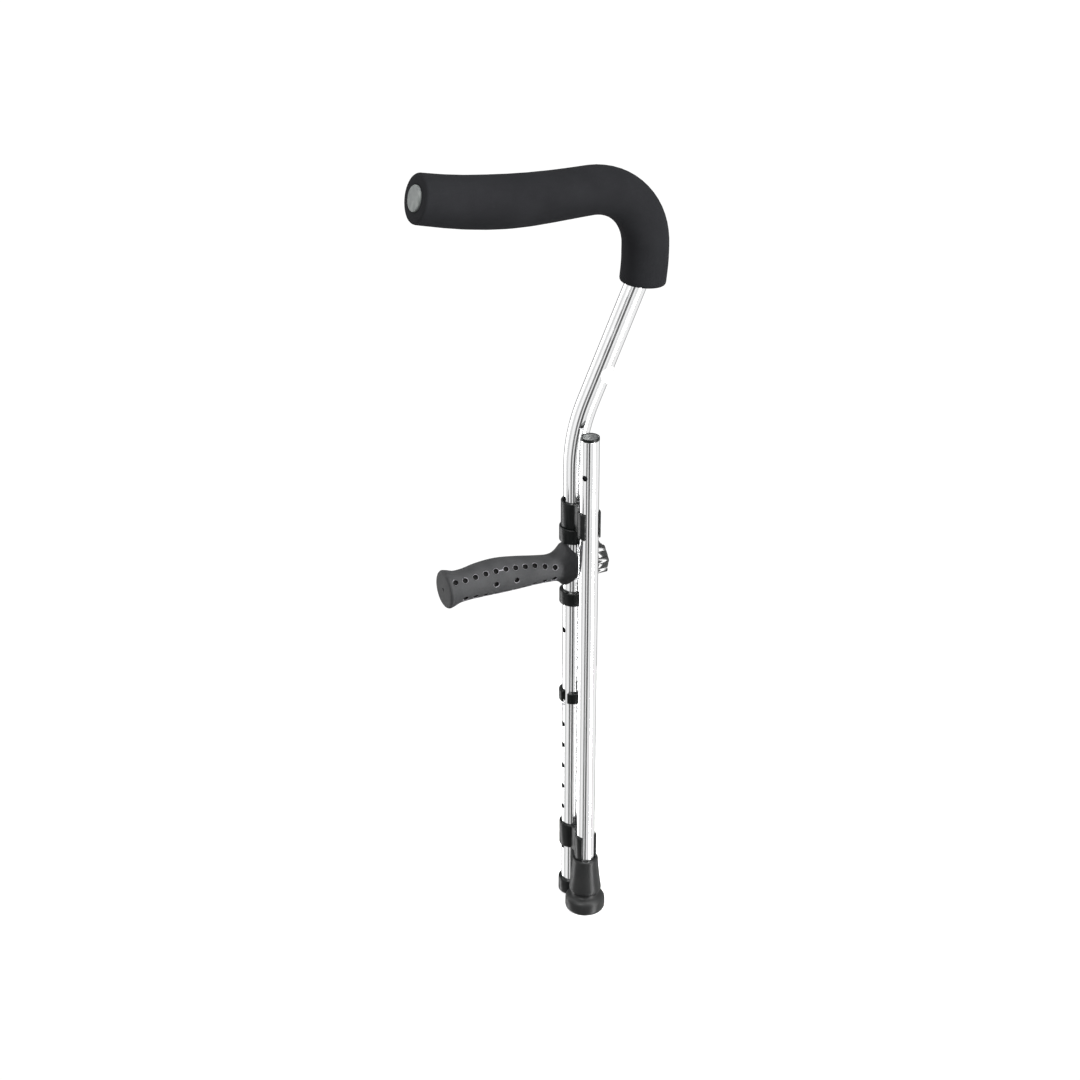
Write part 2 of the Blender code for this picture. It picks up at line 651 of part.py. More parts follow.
def make_grip(parts, cutters, rubber, core_mat, brass):
    """Make the grip's soft shell, its rigid core and the threaded insert in the core."""
    stations = [1.5, 0.0, -4.0, -9.0, -14.0, -20.0, -28.0, -38.0, -50.0, -64.0, -78.0, -92.0, -106.0,
                -118.0, -127.0, -132.0, -136.0, -139.5, -142.0, -143.4, -144.0]
    path = [(x, grip_section(x)[0]) for x in stations]
    radii = [grip_section(x)[1] for x in stations]
    radii[-3:] = [radii[-4] - 0.5, radii[-4] - 1.8, radii[-4] - 4.6]
    radii[0] = radii[1] - 2.5
    shell = sweep("grip_shell", at_main(path), 16.0 * MM, parts, [r * MM for r in radii], 6)
    tube_z = (GRIP_Z - 40.0 * MM, GRIP_Z + 40.0 * MM)
    core_end = Vector((CORE_END[0] * MM, TUBE_SPACING, CORE_END[1] * MM))
    room_end = core_end - Vector((0.6 * MM, 0.0, 0.0))
    axis = (0.0, TUBE_SPACING)
    ring_low = GRIP_RINGS["grip_ring_lower"][1] + GAP
    ring_high = GRIP_RINGS["grip_ring_upper"][0] - GAP
    cuts = [
        cylinder("seat", MAIN_R + GAP, (*axis, tube_z[0]), (*axis, tube_z[1]), cutters, SEGMENTS),
        cylinder("core_room", CORE_R + GAP, (-5.0 * MM, axis[1], GRIP_Z), room_end, cutters, 28),
        cylinder("trim_low", 40.0 * MM, (*axis, ring_low - 40.0 * MM), (*axis, ring_low), cutters, 24),
        cylinder("trim_high", 40.0 * MM, (*axis, ring_high), (*axis, ring_high + 40.0 * MM), cutters, 24),
    ]
    for x, lift in grip_holes():
        height, radius = grip_section(x)
        centre = Vector((x * MM, TUBE_SPACING, height * MM))
        for side in (1.0, -1.0):
            way = Vector((0.0, -side * math.cos(lift), math.sin(lift)))
            ends = centre + way * (radius * MM - GRIP_DIMPLE_DEPTH), centre + way * (radius + 6.0) * MM
            cuts.append(cylinder("dimple", GRIP_DIMPLE_R, *ends, cutters, DIMPLE_SEGMENTS))
    end_centre = Vector((-GRIP_LENGTH, TUBE_SPACING, grip_section(-GRIP_LENGTH / MM)[0] * MM))
    ends = end_centre + Vector((3.0 * MM, 0.0, 0.0)), end_centre - Vector((5.0 * MM, 0.0, 0.0))
    cuts.append(cylinder("end_dot", 1.6 * MM, *ends, cutters, DIMPLE_SEGMENTS))
    finish(boolean(shell, cuts), rubber, 40.0)

    start = Vector((-12.4 * MM, TUBE_SPACING, GRIP_Z))
    core = cylinder("grip_core", CORE_R, start, core_end, parts, 28)
    ends = (0.0, axis[1], GRIP_Z), (-36.0 * MM, axis[1], GRIP_Z)
    bore = cylinder("insert_room", 5.3 * MM, *ends, cutters, 24)
    finish(boolean(core, [bore]), core_mat)
    ends = (-12.8 * MM, axis[1], GRIP_Z), (-35.6 * MM, axis[1], GRIP_Z)
    insert = cylinder("grip_insert", 5.0 * MM, *ends, parts, 24)
    ends = (0.0, axis[1], GRIP_Z), (-33.0 * MM, axis[1], GRIP_Z)
    bore = cylinder("thread", STUD_R + 0.2 * MM, *ends, cutters, 20)
    finish(boolean(insert, [bore]), brass)


def knob_outline():
    """Give the star knob's outline: equal lobes round a circle."""
    count = KNOB_LOBES * 8
    outline = []
    for i in range(count):
        a = 2 * math.pi * i / count
        wave = math.cos(KNOB_LOBES * a)
        radius = KNOB_R - 2.0 * MM + 2.0 * MM * math.copysign(abs(wave) ** 0.7, wave)
        outline.append((radius * math.cos(a), radius * math.sin(a)))
    return outline


def make_knob(parts, plastic, steel):
    """Make the saddle block, washer, star knob and the knob's stud, all on the grip's cross axis."""
    axis_y = TUBE_SPACING
    to_x = Matrix.Translation((0.0, axis_y, GRIP_Z)) @ Matrix.Rotation(math.pi / 2, 4, "Y")
    ends = (3.2 * MM, axis_y, GRIP_Z), (15.6 * MM, axis_y, GRIP_Z)
    saddle = cylinder("knob_saddle", 10.0 * MM, *ends, parts, 32)
    ends = (0.0, axis_y, GRIP_Z - 20.0 * MM), (0.0, axis_y, GRIP_Z + 20.0 * MM)
    cuts = [
        cylinder("seat", MAIN_R + GAP, *ends, parts, SEGMENTS),
        cylinder("room", STUD_R + 0.4 * MM, (0.0, axis_y, GRIP_Z), (20.0 * MM, axis_y, GRIP_Z), parts, 20),
    ]
    finish(boolean(saddle, cuts), plastic)
    washer = turned(
        "knob_washer",
        (
            (STUD_R + 0.3 * MM, 17.1 * MM), (8.0 * MM, 17.1 * MM),
            (8.0 * MM, 15.9 * MM), (STUD_R + 0.3 * MM, 15.9 * MM),
        ),
        parts,
        28,
    )
    washer.matrix_world = to_x
    finish(washer, steel)
    low, high = KNOB_SPAN
    knob = extruded_outline("star_knob", [knob_outline()], low, high - 2.4 * MM, parts)
    hub = turned(
        "hub",
        (
            (0.0, high), (9.0 * MM, high), (13.4 * MM, high - 1.2 * MM), (14.8 * MM, high - 3.0 * MM),
            (14.8 * MM, low + 1.0 * MM), (10.5 * MM, low - 1.2 * MM), (9.5 * MM, KNOB_HUB_BACK),
            (0.0, KNOB_HUB_BACK),
        ),
        parts,
        40,
    )
    knob = boolean(knob, [hub], "UNION")
    knob.matrix_world = to_x @ knob.matrix_world
    ends = (10.0 * MM, axis_y, GRIP_Z), (STUD_HEAD_X + GAP, axis_y, GRIP_Z)
    room = cylinder("stud_room", STUD_R + 0.3 * MM, *ends, parts, 20)
    finish(boolean(knob, [room]), plastic, 30.0)
    ends = (STUD_TIP_X, axis_y, GRIP_Z), (STUD_HEAD_X, axis_y, GRIP_Z)
    stud = cylinder("knob_stud", STUD_R, *ends, parts, 20)
    finish(stud, steel)


def make_label(parts, white):
    """Make the plain round sticker on the gooseneck's sloping run."""
    corner = Vector(GOOSENECK_CORNERS[0][:2])
    after = Vector(GOOSENECK_CORNERS[1][:2])
    way = (after - corner).normalized()
    centre = corner + way * ((601.0 - corner.y) / way.y)
    outer = MAIN_R + 0.35 * MM
    inner = MAIN_R + 0.15 * MM
    sleeve_ends = [centre - way * 14.0, centre + way * 14.0]
    sleeve = sweep("round_label", at_main(sleeve_ends), outer, parts, None, 12)
    core = sweep("label_core", at_main([centre - way * 16.0, centre + way * 16.0]), inner, parts, None, 12)
    middle = Vector((centre.x * MM, TUBE_SPACING, centre.y * MM))
    facing = Vector((0.45, -0.9, 0.0)).normalized()
    ends = middle + facing * 3.0 * MM, middle + facing * 16.0 * MM
    disc = cylinder("label_disc", 8.5 * MM, *ends, parts, 32)
    boolean(sleeve, [core])
    finish(boolean(sleeve, [disc], "INTERSECT"), white)


def main():
    """Build the crutch."""
    clear_scene()
    parts = new_collection("underarm_crutch")
    cutters = new_collection("cutters")
    aluminium = material("anodised_aluminium", (0.78, 0.78, 0.79), 0.22, 1.0)
    steel = material("bright_steel", (0.72, 0.72, 0.73), 0.25, 1.0)
    brass = material("brass", (0.72, 0.55, 0.25), 0.3, 1.0)
    plastic = material("black_plastic", (0.018, 0.02, 0.019), 0.35)
    core_mat = material("grip_core_plastic", (0.03, 0.03, 0.03), 0.5)
    grip_rubber = material("grip_rubber", (0.055, 0.052, 0.06), 0.6)
    foot_rubber = material("foot_rubber", (0.035, 0.036, 0.036), 0.55)
    foam = material("black_foam", (0.022, 0.022, 0.024), 0.9)
    cap_grey = material("grey_plastic", (0.19, 0.19, 0.19), 0.5)
    white = material("white_label", (0.9, 0.9, 0.88), 0.5)

    make_tubes(parts, cutters, aluminium)
    make_pad(parts, cutters, foam, cap_grey)
    make_clips(parts, plastic)
    make_rings(parts, plastic)
    make_collar(parts, plastic)
    make_foot(parts, foot_rubber, steel, plastic)
    make_buttons(parts, steel)
    make_grip(parts, cutters, grip_rubber, core_mat, brass)
    make_knob(parts, plastic, steel)
    make_label(parts, white)


main()
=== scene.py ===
"""Finished surfaces of a stored underarm crutch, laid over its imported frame.

Sizes are in millimetres unless a name says otherwise, and Bench turns them into metres.
The frame is the CAD's: origin at the centre of the foot's sole, +Z up the leg, the underarm
pad and the hand grip towards -X, the main tube on the leg's +Y side.
"""
import logging
import math
from contextlib import contextmanager
from dataclasses import dataclass
from enum import Enum
from typing import Callable, Iterator, Sequence, Union

import bpy
import numpy as np
from mathutils import Matrix, Vector


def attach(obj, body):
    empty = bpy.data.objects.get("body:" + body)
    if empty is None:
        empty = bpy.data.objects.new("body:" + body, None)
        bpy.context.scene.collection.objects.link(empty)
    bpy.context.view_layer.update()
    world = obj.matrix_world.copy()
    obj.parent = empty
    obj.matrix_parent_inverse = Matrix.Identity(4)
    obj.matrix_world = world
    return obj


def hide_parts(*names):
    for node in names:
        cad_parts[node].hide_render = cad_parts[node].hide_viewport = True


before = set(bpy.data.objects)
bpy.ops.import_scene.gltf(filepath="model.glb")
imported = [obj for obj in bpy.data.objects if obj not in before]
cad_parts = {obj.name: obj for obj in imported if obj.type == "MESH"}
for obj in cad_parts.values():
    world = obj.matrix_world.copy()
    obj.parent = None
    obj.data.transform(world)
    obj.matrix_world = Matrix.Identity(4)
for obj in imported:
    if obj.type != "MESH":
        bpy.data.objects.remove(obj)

LOG = logging.getLogger("crutch")
MM = 0.001
TUBE_Y = 31.3        # main tube's axis, behind the leg's
MAIN_R = 11.11
LEG_R = 9.525
WALL = 1.2
GAP = 0.3            # clearance round a tube
GRIP_Z = 400.0
LEG_TOP = 548.4
LEG_HOLE = 510.4
LEG_HOLE_TURN = math.radians(58.0)      # the open hole's turn from -Y towards -X
CATCH_Z = 239.4      # the catch's button, in the top hole of the row

Triple = tuple[float, float, float]
Pair = tuple[float, float]


class Body(Enum):
    """The CAD bodies a piece may ride on."""

    FRAME = "frame"
    LEG = "leg"
    LEG_BUTTON = "leg_button"
    CATCH_BUTTON = "catch_button"
    COLLAR = "collar"
    KNOB = "knob"


class Slot(Enum):
    """The record's material slots."""

    ALUMINIUM = "aluminium"
    STEEL = "steel"
    BRASS = "brass"
    BLACK_PLASTIC = "black_plastic"
    CORE_PLASTIC = "core_plastic"
    GREY_PLASTIC = "grey_plastic"
    GRIP_RUBBER = "grip_rubber"
    FOOT_RUBBER = "foot_rubber"
    FOAM = "foam"
    LABEL = "white_label"


# ---------------------------------------------------------------- shader maths


class Value:
    """A number socket of a node tree that Python's operators work on."""

    def __init__(self, shader: "Shader", socket: bpy.types.NodeSocket) -> None:
        """Keep the socket and the shader that holds it."""
        self.shader = shader
        self.socket = socket

    def math(self, operation: str, *terms: "Term") -> "Value":
        """Add a Math node.

        Args:
            operation: The Math node's operation.
            *terms: Its inputs, in order.

        Returns:
            The node's result.
        """
        node = self.shader.node("ShaderNodeMath", {"operation": operation}, dict(enumerate(terms)))
        return Value(self.shader, node.outputs[0])

    def __add__(self, other: "Term") -> "Value":
        """Add."""
        return self.math("ADD", self, other)

    def __radd__(self, other: "Term") -> "Value":
        """Add, reflected."""
        return self.math("ADD", other, self)

    def __sub__(self, other: "Term") -> "Value":
        """Subtract."""
        return self.math("SUBTRACT", self, other)

    def __rsub__(self, other: "Term") -> "Value":
        """Subtract, reflected."""
        return self.math("SUBTRACT", other, self)

    def __mul__(self, other: "Term") -> "Value":
        """Multiply."""
        return self.math("MULTIPLY", self, other)

    def __rmul__(self, other: "Term") -> "Value":
        """Multiply, reflected."""
        return self.math("MULTIPLY", other, self)

    def eased(self, low: float, high: float) -> "Value":
        """Rise smoothly from 0 at low to 1 at high."""
        ends = {"Value": self, "From Min": low, "From Max": high}
        node = self.shader.node("ShaderNodeMapRange", {"interpolation_type": "SMOOTHSTEP"}, ends)
        return Value(self.shader, node.outputs["Result"])


Term = Union[Value, float]


class Shader:
    """A material's or a world's node tree, built one node at a time."""

    def __init__(self, owner: Union[bpy.types.Material, bpy.types.World]) -> None:
        """Open the owner's node tree."""
        owner.use_nodes = True
        self.tree = owner.node_tree

    def node(
        self, kind: str, settings: dict | None = None, sockets: dict | None = None
    ) -> bpy.types.Node:
        """Add a node.

        Args:
            kind: The node's type.
            settings: Its properties, set first.
            sockets: Values or links for its inputs, by name or index.

        Returns:
            The node.
        """
        made = self.tree.nodes.new(kind)
        for key, value in (settings or {}).items():
            setattr(made, key, value)
        for key, value in (sockets or {}).items():
            self.feed(made.inputs[key], value)
        return made

    def feed(self, socket: bpy.types.NodeSocket, value: object) -> None:
        """Link or set one input socket."""
        if isinstance(value, Value):
            value = value.socket
        if isinstance(value, bpy.types.NodeSocket):
            self.tree.links.new(value, socket)
        else:
            socket.default_value = value

    def place(self, stretch: Triple = (1.0, 1.0, 1.0), attribute: str = "") -> bpy.types.NodeSocket:
        """Give Object coordinates, or a piece's own vector attribute, scaled along each axis."""
        if attribute:
            source = self.node("ShaderNodeAttribute", {"attribute_name": attribute}).outputs["Vector"]
        else:
            source = self.node("ShaderNodeTexCoord").outputs["Object"]
        mapped = self.node("ShaderNodeMapping", None, {"Vector": source, "Scale": stretch})
        return mapped.outputs["Vector"]

    def noise(self, where: bpy.types.NodeSocket, per_mm: float, detail: float = 2.0) -> Value:
        """Give a noise whose grains are 1 / per_mm millimetres across."""
        sockets = {"Vector": where, "Scale": per_mm / MM, "Detail": detail, "Roughness": 0.55}
        return Value(self, self.node("ShaderNodeTexNoise", None, sockets).outputs["Fac"])

    def cells(self, where: bpy.types.NodeSocket, per_mm: float) -> Value:
        """Give the distance to the middle of the nearest random cell, about 0 to 1."""
        node = self.node("ShaderNodeTexVoronoi", None, {"Vector": where, "Scale": per_mm / MM})
        return Value(self, node.outputs["Distance"])

    def tint(self, share: Term, dark: Triple, light: Triple) -> bpy.types.NodeSocket:
        """Mix two colours by a share."""
        sockets = {0: share, 6: (*dark, 1.0), 7: (*light, 1.0)}
        return self.node("ShaderNodeMix", {"data_type": "RGBA"}, sockets).outputs[2]

    def relief(self, height: Value, depth: float, strength: float = 1.0) -> bpy.types.NodeSocket:
        """Give a bumped normal for a height of so many millimetres."""
        sockets = {"Height": height, "Distance": depth * MM, "Strength": strength}
        return self.node("ShaderNodeBump", None, sockets).outputs["Normal"]


@dataclass(frozen=True)
class Finish:
    """A surface finish; each kind fills in its own nodes."""

    name: str

    def material(self) -> bpy.types.Material:
        """Give this finish's material, made once."""
        found = bpy.data.materials.get(self.name)
        if found is None:
            found = bpy.data.materials.new(self.name)
            shader = Shader(found)
            surface = shader.tree.nodes["Principled BSDF"]
            for socket, value in self.surface(shader).items():
                shader.feed(surface.inputs[socket], value)
        return found

    def surface(self, shader: Shader) -> dict:
        """Give the surface's sockets and what feeds them."""
        raise NotImplementedError


@dataclass(frozen=True)
class DrawnAluminium(Finish):
    """Bright tube with fine draw lines along its length and a few handling marks."""

    attribute: str = ""
    dark: Triple = (0.86, 0.865, 0.87)
    light: Triple = (0.95, 0.95, 0.952)

    def surface(self, shader: Shader) -> dict:
        """Lines run along Z, or along the tube's own straightened coordinates."""
        lines = shader.noise(shader.place((1.0, 1.0, 0.006), self.attribute), 3.2, 3.0)
        broad = shader.noise(shader.place((1.0, 1.0, 0.05), self.attribute), 0.16, 2.0)
        smears = shader.noise(shader.place((1.0, 1.0, 0.5), self.attribute), 0.05, 3.0)
        return {
            "Base Color": shader.tint(0.6 * lines + 0.4 * broad, self.dark, self.light),
            "Metallic": 1.0,
            "Roughness": 0.08 + 0.06 * lines + 0.08 * smears.eased(0.45, 0.75),
            "Normal": shader.relief(lines + 0.4 * broad, 0.012, 0.5),
        }


@dataclass(frozen=True)
class MouldedPlastic(Finish):
    """Moulded plastic with a slight orange-peel and scuffed, greyer patches."""

    colour: Triple = (0.0030, 0.0038, 0.0036)
    worn: Triple = (0.0070, 0.0080, 0.0078)
    gloss: float = 0.26
    shine: float = 0.2

    def surface(self, shader: Shader) -> dict:
        """Gloss and colour vary with patches a few millimetres across."""
        here = shader.place()
        patches = shader.noise(here, 0.12, 4.0)
        peel = shader.noise(here, 0.9, 2.0)
        grain = shader.noise(here, 6.0, 2.0)
        return {
            "Base Color": shader.tint(patches.eased(0.42, 0.72), self.colour, self.worn),
            "Roughness": self.gloss + 0.10 * patches + 0.05 * grain,
            "Specular IOR Level": self.shine,
            "Normal": shader.relief(peel + 0.25 * grain, 0.03, 0.35),
        }


@dataclass(frozen=True)
class CellFoam(Finish):
    """Skinned soft foam: matt, with fine closed cells and soft uneven tone."""

    dark: Triple = (0.0070, 0.0072, 0.0082)
    light: Triple = (0.0115, 0.0118, 0.0132)

    def surface(self, shader: Shader) -> dict:
        """Cells about half a millimetre across over slow dents."""
        here = shader.place()
        cells = shader.cells(here, 1.5)
        grain = shader.noise(here, 3.5, 3.0)
        dents = shader.noise(here, 0.035, 3.0)
        tone = 0.55 * dents + 0.25 * cells + 0.2 * grain
        return {
            "Base Color": shader.tint(tone.eased(0.25, 0.75), self.dark, self.light),
            "Roughness": 0.80 + 0.12 * grain,
            "Specular IOR Level": 0.08,
            "Normal": shader.relief(cells + 0.6 * grain + 1.5 * dents, 0.06, 0.30),
        }


@dataclass(frozen=True)
class SoftRubber(Finish):
    """Moulded rubber with a fine spark-eroded grain."""

    dark: Triple = (0.040, 0.040, 0.046)
    light: Triple = (0.072, 0.071, 0.078)
    gloss: float = 0.46
    grain_depth: float = 0.05
    sheen: float = 0.12

    def surface(self, shader: Shader) -> dict:
        """Grain of a third of a millimetre over slow patches of tone."""
        here = shader.place()
        grain = shader.noise(here, 2.6, 3.0)
        speckle = shader.cells(here, 1.9)
        patches = shader.noise(here, 0.05, 3.0)
        tone = 0.5 * patches + 0.3 * grain + 0.2 * speckle
        return {
            "Base Color": shader.tint(tone.eased(0.30, 0.68), self.dark, self.light),
            "Roughness": self.gloss + 0.16 * grain + 0.06 * patches,
            "Specular IOR Level": self.sheen,
            "Normal": shader.relief(grain + 0.5 * speckle, self.grain_depth, 0.5),
        }


@dataclass(frozen=True)
class PlatedMetal(Finish):
    """Small metal parts: plated steel or brass with tumbled marks."""

    dark: Triple = (0.60, 0.60, 0.62)
    light: Triple = (0.86, 0.86, 0.87)

    def surface(self, shader: Shader) -> dict:
        """Fine random marks vary colour and gloss."""
        here = shader.place()
        marks = shader.noise(here, 1.4, 4.0)
        fine = shader.noise(here, 8.0, 2.0)
        return {
            "Base Color": shader.tint(marks, self.dark, self.light),
            "Metallic": 1.0,
            "Roughness": 0.16 + 0.20 * marks,
            "Normal": shader.relief(fine, 0.01, 0.4),
        }


@dataclass(frozen=True)
class CoatedPaper(Finish):
    """White sticker stock with a faint fibre and a slightly yellowed tone."""

    def surface(self, shader: Shader) -> dict:
        """Fibre of a quarter of a millimetre under a satin coat."""
        here = shader.place()
        fibre = shader.noise(here, 4.0, 3.0)
        return {
            "Base Color": shader.tint(fibre.eased(0.3, 0.7), (0.80, 0.80, 0.79), (0.90, 0.90, 0.90)),
            "Roughness": 0.30 + 0.15 * fibre,
            "Normal": shader.relief(fibre, 0.01, 0.3),
        }


@dataclass(frozen=True)
class PaleFloor(Finish):
    """Plain pale studio floor, lit a little from beneath."""

    def surface(self, shader: Shader) -> dict:
        """A faint mottle keeps it from looking like a cut-out."""
        mottle = shader.noise(shader.place(), 0.01, 3.0)
        return {
            "Base Color": shader.tint(mottle, (0.90, 0.90, 0.90), (0.92, 0.92, 0.92)),
            "Roughness": 0.9,
            "Specular IOR Level": 0.0,
            "Emission Color": (1.0, 1.0, 1.0, 1.0),
            "Emission Strength": 0.45,
        }


STRAIGHT_TUBE = DrawnAluminium("drawn_aluminium")
BENT_TUBE = DrawnAluminium("bent_aluminium", "straightened")
CLIP_BLACK = MouldedPlastic("glossy_black_plastic")
KNOB_BLACK = MouldedPlastic("knob_black_plastic", gloss=0.08, shine=0.6)
# The tubes' bores and hole walls are painted dark: painted shade inside the aluminium tubes.
TUBE_BORE_SHADE = MouldedPlastic("shaded_bore", (0.006, 0.006, 0.006), (0.012, 0.012, 0.012), 0.7)
CORE_PLASTIC = MouldedPlastic("core_black_plastic", (0.02, 0.02, 0.02), (0.035, 0.035, 0.035), 0.45)
CAP_GREY = MouldedPlastic("cap_grey_plastic", (0.125, 0.135, 0.132), (0.175, 0.185, 0.180), 0.42)
# Lighter grey for the leg plug's upward inner face: a painted reflection of the top light.
PLUG_TOP_REFLECTION = MouldedPlastic("plug_top_painted_reflection", (0.035, 0.037, 0.037), (0.110, 0.115, 0.113), 0.40)
PAD_FOAM = CellFoam("pad_foam")
GRIP_SKIN = SoftRubber("grip_skin", (0.022, 0.0225, 0.0235), (0.042, 0.0425, 0.044))
# The dark rubber for the grip's hole walls and floors is painted shade, and the lighter rubber for the
# hole rims is a painted highlight.
GRIP_HOLE_SHADE = SoftRubber("grip_hole_painted_shade", (0.004, 0.004, 0.004), (0.010, 0.010, 0.010), 0.7, 0.02, 0.1)
GRIP_RIM_HIGHLIGHT = SoftRubber("grip_rim_painted_highlight", (0.16, 0.155, 0.17), (0.25, 0.245, 0.26), 0.5, 0.02)
FOOT_SKIN = SoftRubber("foot_skin", (0.011, 0.0115, 0.0115), (0.021, 0.0215, 0.0215), 0.30, 0.03, 0.2)
BRIGHT_STEEL = PlatedMetal("plated_steel")
BLUED_STEEL = PlatedMetal("blued_steel", (0.010, 0.010, 0.012), (0.030, 0.030, 0.034))
TURNED_BRASS = PlatedMetal("turned_brass", (0.50, 0.36, 0.15), (0.80, 0.62, 0.30))
STICKER = CoatedPaper("sticker_paper")
FLOOR = PaleFloor("pale_floor")


# ---------------------------------------------------------------- modelling


@dataclass(frozen=True)
class Ring:
    """One ring of a sleeve in the plane of the pad: place, radius and the path's lean there."""

    x: float
    z: float
    radius: float
    lean: float


@dataclass(frozen=True)
class Axis:
    """A line to turn a profile about."""

    origin: Triple
    along: Triple = (0.0, 0.0, 1.0)

    def frame(self) -> tuple[Vector, Vector, Vector]:
        """Give the origin, the direction and a direction square to it."""
        along = Vector(self.along).normalized()
        side = Vector((0.0, 1.0, 0.0)) if abs(along.y) < 0.9 else Vector((1.0, 0.0, 0.0))
        return Vector(self.origin), along, along.cross(side).normalized()

    def at(self, radius: float, height: float) -> Vector:
        """Give the place of a profile's point."""
        origin, along, out = self.frame()
        return origin + along * height + out * radius


class Bench:
    """Blender's modelling operators, with sizes in millimetres."""

    @staticmethod
    def clear() -> None:
        """Leave object mode ready and nothing selected."""
        if bpy.context.object is not None and bpy.context.object.mode != "OBJECT":
            bpy.ops.object.mode_set(mode="OBJECT")
        bpy.ops.object.select_all(action="DESELECT")

    @classmethod
    def pick(cls, piece: bpy.types.Object) -> None:
        """Select one object alone and make it active."""
        cls.clear()
        piece.select_set(True)
        bpy.context.view_layer.objects.active = piece

    @classmethod
    @contextmanager
    def editing(cls, piece: bpy.types.Object, kind: str = "VERT", keep: bool = False) -> Iterator[None]:
        """Edit a piece's mesh.

        Args:
            piece: The object to edit.
            kind: The select mode: VERT, EDGE or FACE.
            keep: Whether the selection stands; otherwise all is selected.
        """
        cls.pick(piece)
        bpy.ops.object.mode_set(mode="EDIT")
        bpy.ops.mesh.select_mode(type=kind)
        if not keep:
            bpy.ops.mesh.select_all(action="SELECT")
        yield
        bpy.ops.object.mode_set(mode="OBJECT")

    @staticmethod
    def settle(name: str) -> bpy.types.Object:
        """Name the new object and put its place into its mesh."""
        piece = bpy.context.object
        piece.name = piece.data.name = name
        bpy.ops.object.transform_apply(location=True, rotation=True, scale=True)
        return piece

    @classmethod
    def circle(
        cls, name: str, centre: Triple, radius: float, turn: Triple, sides: int
    ) -> bpy.types.Object:
        """Add an open ring of vertices, turned by three angles."""
        cls.clear()
        bpy.ops.mesh.primitive_circle_add(
            vertices=sides, radius=radius * MM, location=Vector(centre) * MM, rotation=turn
        )
        return cls.settle(name)

    @classmethod
    def rod(cls, start: Triple, end: Triple, radius: float, sides: int = 32) -> bpy.types.Object:
        """Add a closed rod between two points, used to cut."""
        cls.clear()
        a, b = Vector(start) * MM, Vector(end) * MM
        turn = Vector((0.0, 0.0, 1.0)).rotation_difference(b - a).to_euler()
        bpy.ops.mesh.primitive_cylinder_add(
            vertices=sides, radius=radius * MM, depth=(b - a).length, location=(a + b) / 2, rotation=turn
        )
        return cls.settle("rod")

    @classmethod
    def traced(cls, name: str, places: Sequence[Vector], closed: bool) -> bpy.types.Object:
        """Draw a run of edges by extruding a single vertex from place to place."""
        cls.clear()
        bpy.ops.mesh.primitive_plane_add(size=MM, location=places[0] * MM)
        piece = cls.settle(name)
        with cls.editing(piece):
            bpy.ops.mesh.merge(type="CENTER")
            for before, after in zip(places, [*places[1:], places[0]] if closed else places[1:]):
                step = (after - before) * MM
                bpy.ops.mesh.extrude_region_move(TRANSFORM_OT_translate={"value": step})
            bpy.ops.mesh.select_all(action="SELECT")
            bpy.ops.mesh.remove_doubles(threshold=1e-6)
        return piece

    @classmethod
    def turned(cls, name: str, profile: Sequence[Pair], axis: Axis, steps: int = 72) -> bpy.types.Object:
        """Turn a profile of (radius, height) pairs about an axis.

        A profile that starts and ends on the axis is left open there, and any other is a loop.
        """
        loop = not (profile[0][0] == 0.0 and profile[-1][0] == 0.0)
        piece = cls.traced(name, [axis.at(r, h) for r, h in profile], loop)
        origin, along, _ = axis.frame()
        with cls.editing(piece):
            bpy.ops.mesh.spin(steps=steps, angle=2 * math.pi, center=origin * MM, axis=along)
            cls.weld()
        return piece

    @staticmethod
    def weld() -> None:
        """Merge doubles and turn every face outwards, in edit mode."""
        bpy.ops.mesh.select_all(action="SELECT")
        bpy.ops.mesh.remove_doubles(threshold=1e-6)
        bpy.ops.mesh.normals_make_consistent(inside=False)

    @classmethod
    def prism(
        cls, name: str, outline: Sequence[Pair], low: float, high: float, centre: Pair
    ) -> bpy.types.Object:
        """Fill an outline seen from above and raise it into a solid."""
        places = [Vector((centre[0] + x, centre[1] + y, low)) for x, y in outline]
        piece = cls.traced(name, places, True)
        with cls.editing(piece):
            bpy.ops.mesh.edge_face_add()
            lift = {"value": (0.0, 0.0, (high - low) * MM)}
            bpy.ops.mesh.extrude_region_move(TRANSFORM_OT_translate=lift)
            cls.weld()
        return piece

    @classmethod
    def sleeve(cls, name: str, rings: Sequence[Ring], sides: int, hollow: bool) -> bpy.types.Object:
        """Extrude a ring along a path in the plane of the pad.

        Args:
            name: The piece's name.
            rings: Where each ring lies.
            sides: Sides of the round section.
            hollow: Whether the last ring is joined to the first; otherwise the two ends are filled.

        Returns:
            The closed piece.
        """
        first = rings[0]
        piece = cls.circle(name, (first.x, TUBE_Y, first.z), first.radius, (0.0, first.lean, 0.0), sides)
        with cls.editing(piece):
            if not hollow:
                bpy.ops.mesh.edge_face_add()
            for before, ring in zip(rings, [*rings[1:], first] if hollow else rings[1:]):
                centre = Vector((ring.x, TUBE_Y, ring.z)) * MM
                step = Vector((ring.x - before.x, 0.0, ring.z - before.z)) * MM
                bpy.ops.mesh.extrude_region_move(TRANSFORM_OT_translate={"value": step})
                if abs(ring.lean - before.lean) > 1e-6:
                    # with no window this operator turns the other way
                    bpy.ops.transform.rotate(
                        value=before.lean - ring.lean, orient_axis="Y", center_override=centre
                    )
                if abs(ring.radius - before.radius) > 1e-6:
                    grow = ring.radius / before.radius
                    bpy.ops.transform.resize(value=(grow, grow, grow), center_override=centre)
            cls.weld()
        return piece

    @classmethod
    def cut(cls, piece: bpy.types.Object, cutter: bpy.types.Object, how: str = "DIFFERENCE") -> None:
        """Apply one Boolean and remove its cutter."""
        modifier = piece.modifiers.new(how.lower(), "BOOLEAN")
        modifier.operation = how
        modifier.object = cutter
        modifier.solver = "EXACT"
        cls.pick(piece)
        bpy.ops.object.modifier_apply(modifier=modifier.name)
        bpy.data.objects.remove(cutter, do_unlink=True)

